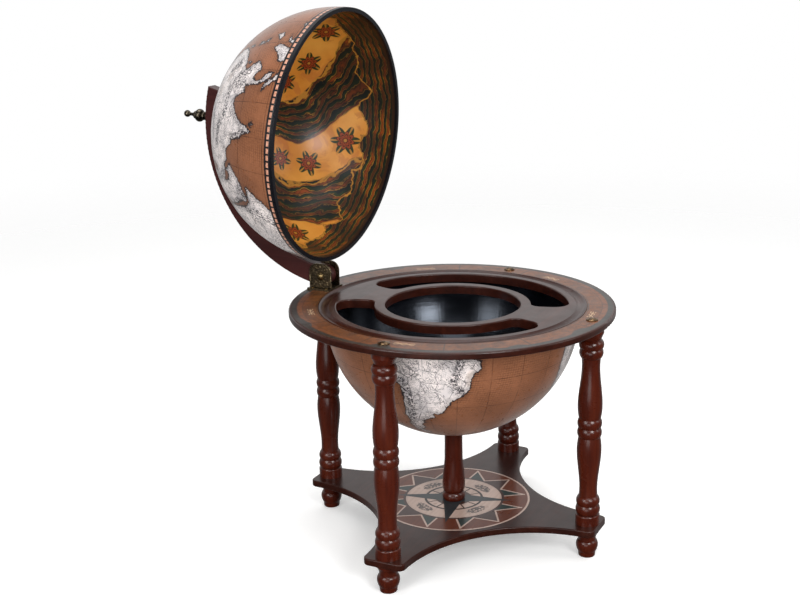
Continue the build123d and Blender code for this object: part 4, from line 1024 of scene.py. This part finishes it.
# ---- cast relief of the hinge bracket
CHEEK_HALF = 16.75 * MM  # half of a cheek's width
CHEEK_FACE = 11.3 * MM  # from the middle to a cheek's outer face
CHEEK_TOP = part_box("hinge_bracket")[1].z
RELIEF_BEAD_R = 0.75 * MM
RELIEF_BEAD_INSET = 0.9 * MM
RELIEF_FOOT = 3.4 * MM  # the beaded border's foot above the table
RELIEF_CORNER_R = 11.1 * MM
RELIEF_CORNER_STEPS = 10
RELIEF_SINK = 0.45 * MM  # the ornament's axis below the cheek's outer face
RELIEF_SECTION = 10
RELIEF_PETALS = 12
PETAL_RING_R = 6.3 * MM
PETAL = (3.2 * MM, 0.75 * MM)  # length and width of a leaf
SPRIG = (3.0 * MM, 0.62 * MM)
SPRIG_TURNS = (-1.9, -1.1, -0.3, 2.2, 3.0)
LOW_LEAF = (6.5 * MM, 1.1 * MM)
HIGH_LEAF = (6.0 * MM, 1.0 * MM)
SCROLLS = ((8.4, -10.6, 3.9, 0.4), (8.0, 10.2, 3.0, -0.6))  # beside and above the pin, size, first turn
SCROLL_STEPS = 27
LEAF_STEPS = 7


def swept(mesh, path, radii, out, proud=1.0):
    """Add a round bar along a path in the cheek's plane. Its ends close where the radius is small."""
    rings = []
    turns = [TAU * j / RELIEF_SECTION for j in range(RELIEF_SECTION)]
    for k, (place, radius) in enumerate(zip(path, radii)):
        ahead = (path[min(k + 1, len(path) - 1)] - path[max(k - 1, 0)]).normalized()
        across = ahead.cross(out)
        spokes = [across * cos(turn) + out * (sin(turn) * proud) for turn in turns]
        rings.append([mesh.verts.new(place + spoke * radius) for spoke in spokes])
    for low, high in zip(rings, rings[1:]):
        for j in range(RELIEF_SECTION):
            beside = (j + 1) % RELIEF_SECTION
            mesh.faces.new((low[j], low[beside], high[beside], high[j]))
    mesh.faces.new(rings[0])
    mesh.faces.new(list(reversed(rings[-1])))


def hinge_relief(name, sign):
    """Beaded border, petals round the pin and leafy scrolls on one cheek of the bracket."""
    out = Vector((sign, 0, 0))
    mesh = bmesh.new()

    def at(y, z):
        return Vector((sign * (CHEEK_FACE - RELIEF_SINK), y, z))

    def leaf(y, z, turn, size):
        """A pointed leaf that starts at a place and points along an angle."""
        span, width = size
        steps = [k / LEAF_STEPS for k in range(LEAF_STEPS + 1)]
        path = [at(y + cos(turn) * span * t, z + sin(turn) * span * t) for t in steps]
        swept(mesh, path, [width * (0.08 + sin(pi * t ** 0.8)) for t in steps], out, 0.7)

    def bead(path):
        swept(mesh, path, [RELIEF_BEAD_R] * len(path), out)

    # beaded border: up the left side, round two corners, down the right side, and the foot
    left, right = PIN.y - CHEEK_HALF + RELIEF_BEAD_INSET, PIN.y + CHEEK_HALF - RELIEF_BEAD_INSET
    top, bottom = CHEEK_TOP - RELIEF_BEAD_INSET, TABLE_TOP + RELIEF_FOOT
    corner = RELIEF_CORNER_R
    turns = [pi / 2 * k / RELIEF_CORNER_STEPS for k in range(RELIEF_CORNER_STEPS + 1)]
    bead([at(left, bottom)]
         + [at(left + corner - corner * cos(a), top - corner + corner * sin(a)) for a in turns]
         + [at(right - corner + corner * sin(a), top - corner + corner * cos(a)) for a in turns]
         + [at(right, bottom)])
    bead([at(left + (right - left) * k / 8, bottom) for k in range(9)])

    for k in range(RELIEF_PETALS):
        turn = TAU * (k + 0.5) / RELIEF_PETALS
        leaf(PIN.y + PETAL_RING_R * cos(turn), PIN.z + PETAL_RING_R * sin(turn), turn, PETAL)
    for hand in (-1, 1):
        for offset, rise, size, start in SCROLLS:
            y, z = PIN.y + hand * offset * MM, PIN.z + rise * MM
            path = []
            for k in range(SCROLL_STEPS + 1):
                a, r = start + 0.32 * k, size * (1.0 - 0.75 * k / SCROLL_STEPS) * MM
                path.append(at(y + hand * r * cos(a), z + r * sin(a)))
            swept(mesh, path, [(0.72 - 0.3 * k / SCROLL_STEPS) * MM for k in range(len(path))], out, 0.8)
            reach = size * 1.05 * MM
            for a in SPRIG_TURNS:
                leaf(y + hand * reach * cos(a), z + reach * sin(a), a if hand > 0 else pi - a, SPRIG)
    leaf(PIN.y, PIN.z - 15.0 * MM, pi / 2, LOW_LEAF)
    leaf(PIN.y, PIN.z + 9.8 * MM, pi / 2, HIGH_LEAF)
    data = bpy.data.meshes.new(name)
    mesh.to_mesh(data)
    mesh.free()
    data.polygons.foreach_set("use_smooth", [True] * len(data.polygons))
    data.materials.append(BRASS_DARK)
    relief = add_object(name, data)
    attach(relief, "stand")


hinge_relief("hinge_relief_left", -1)
hinge_relief("hinge_relief_right", 1)
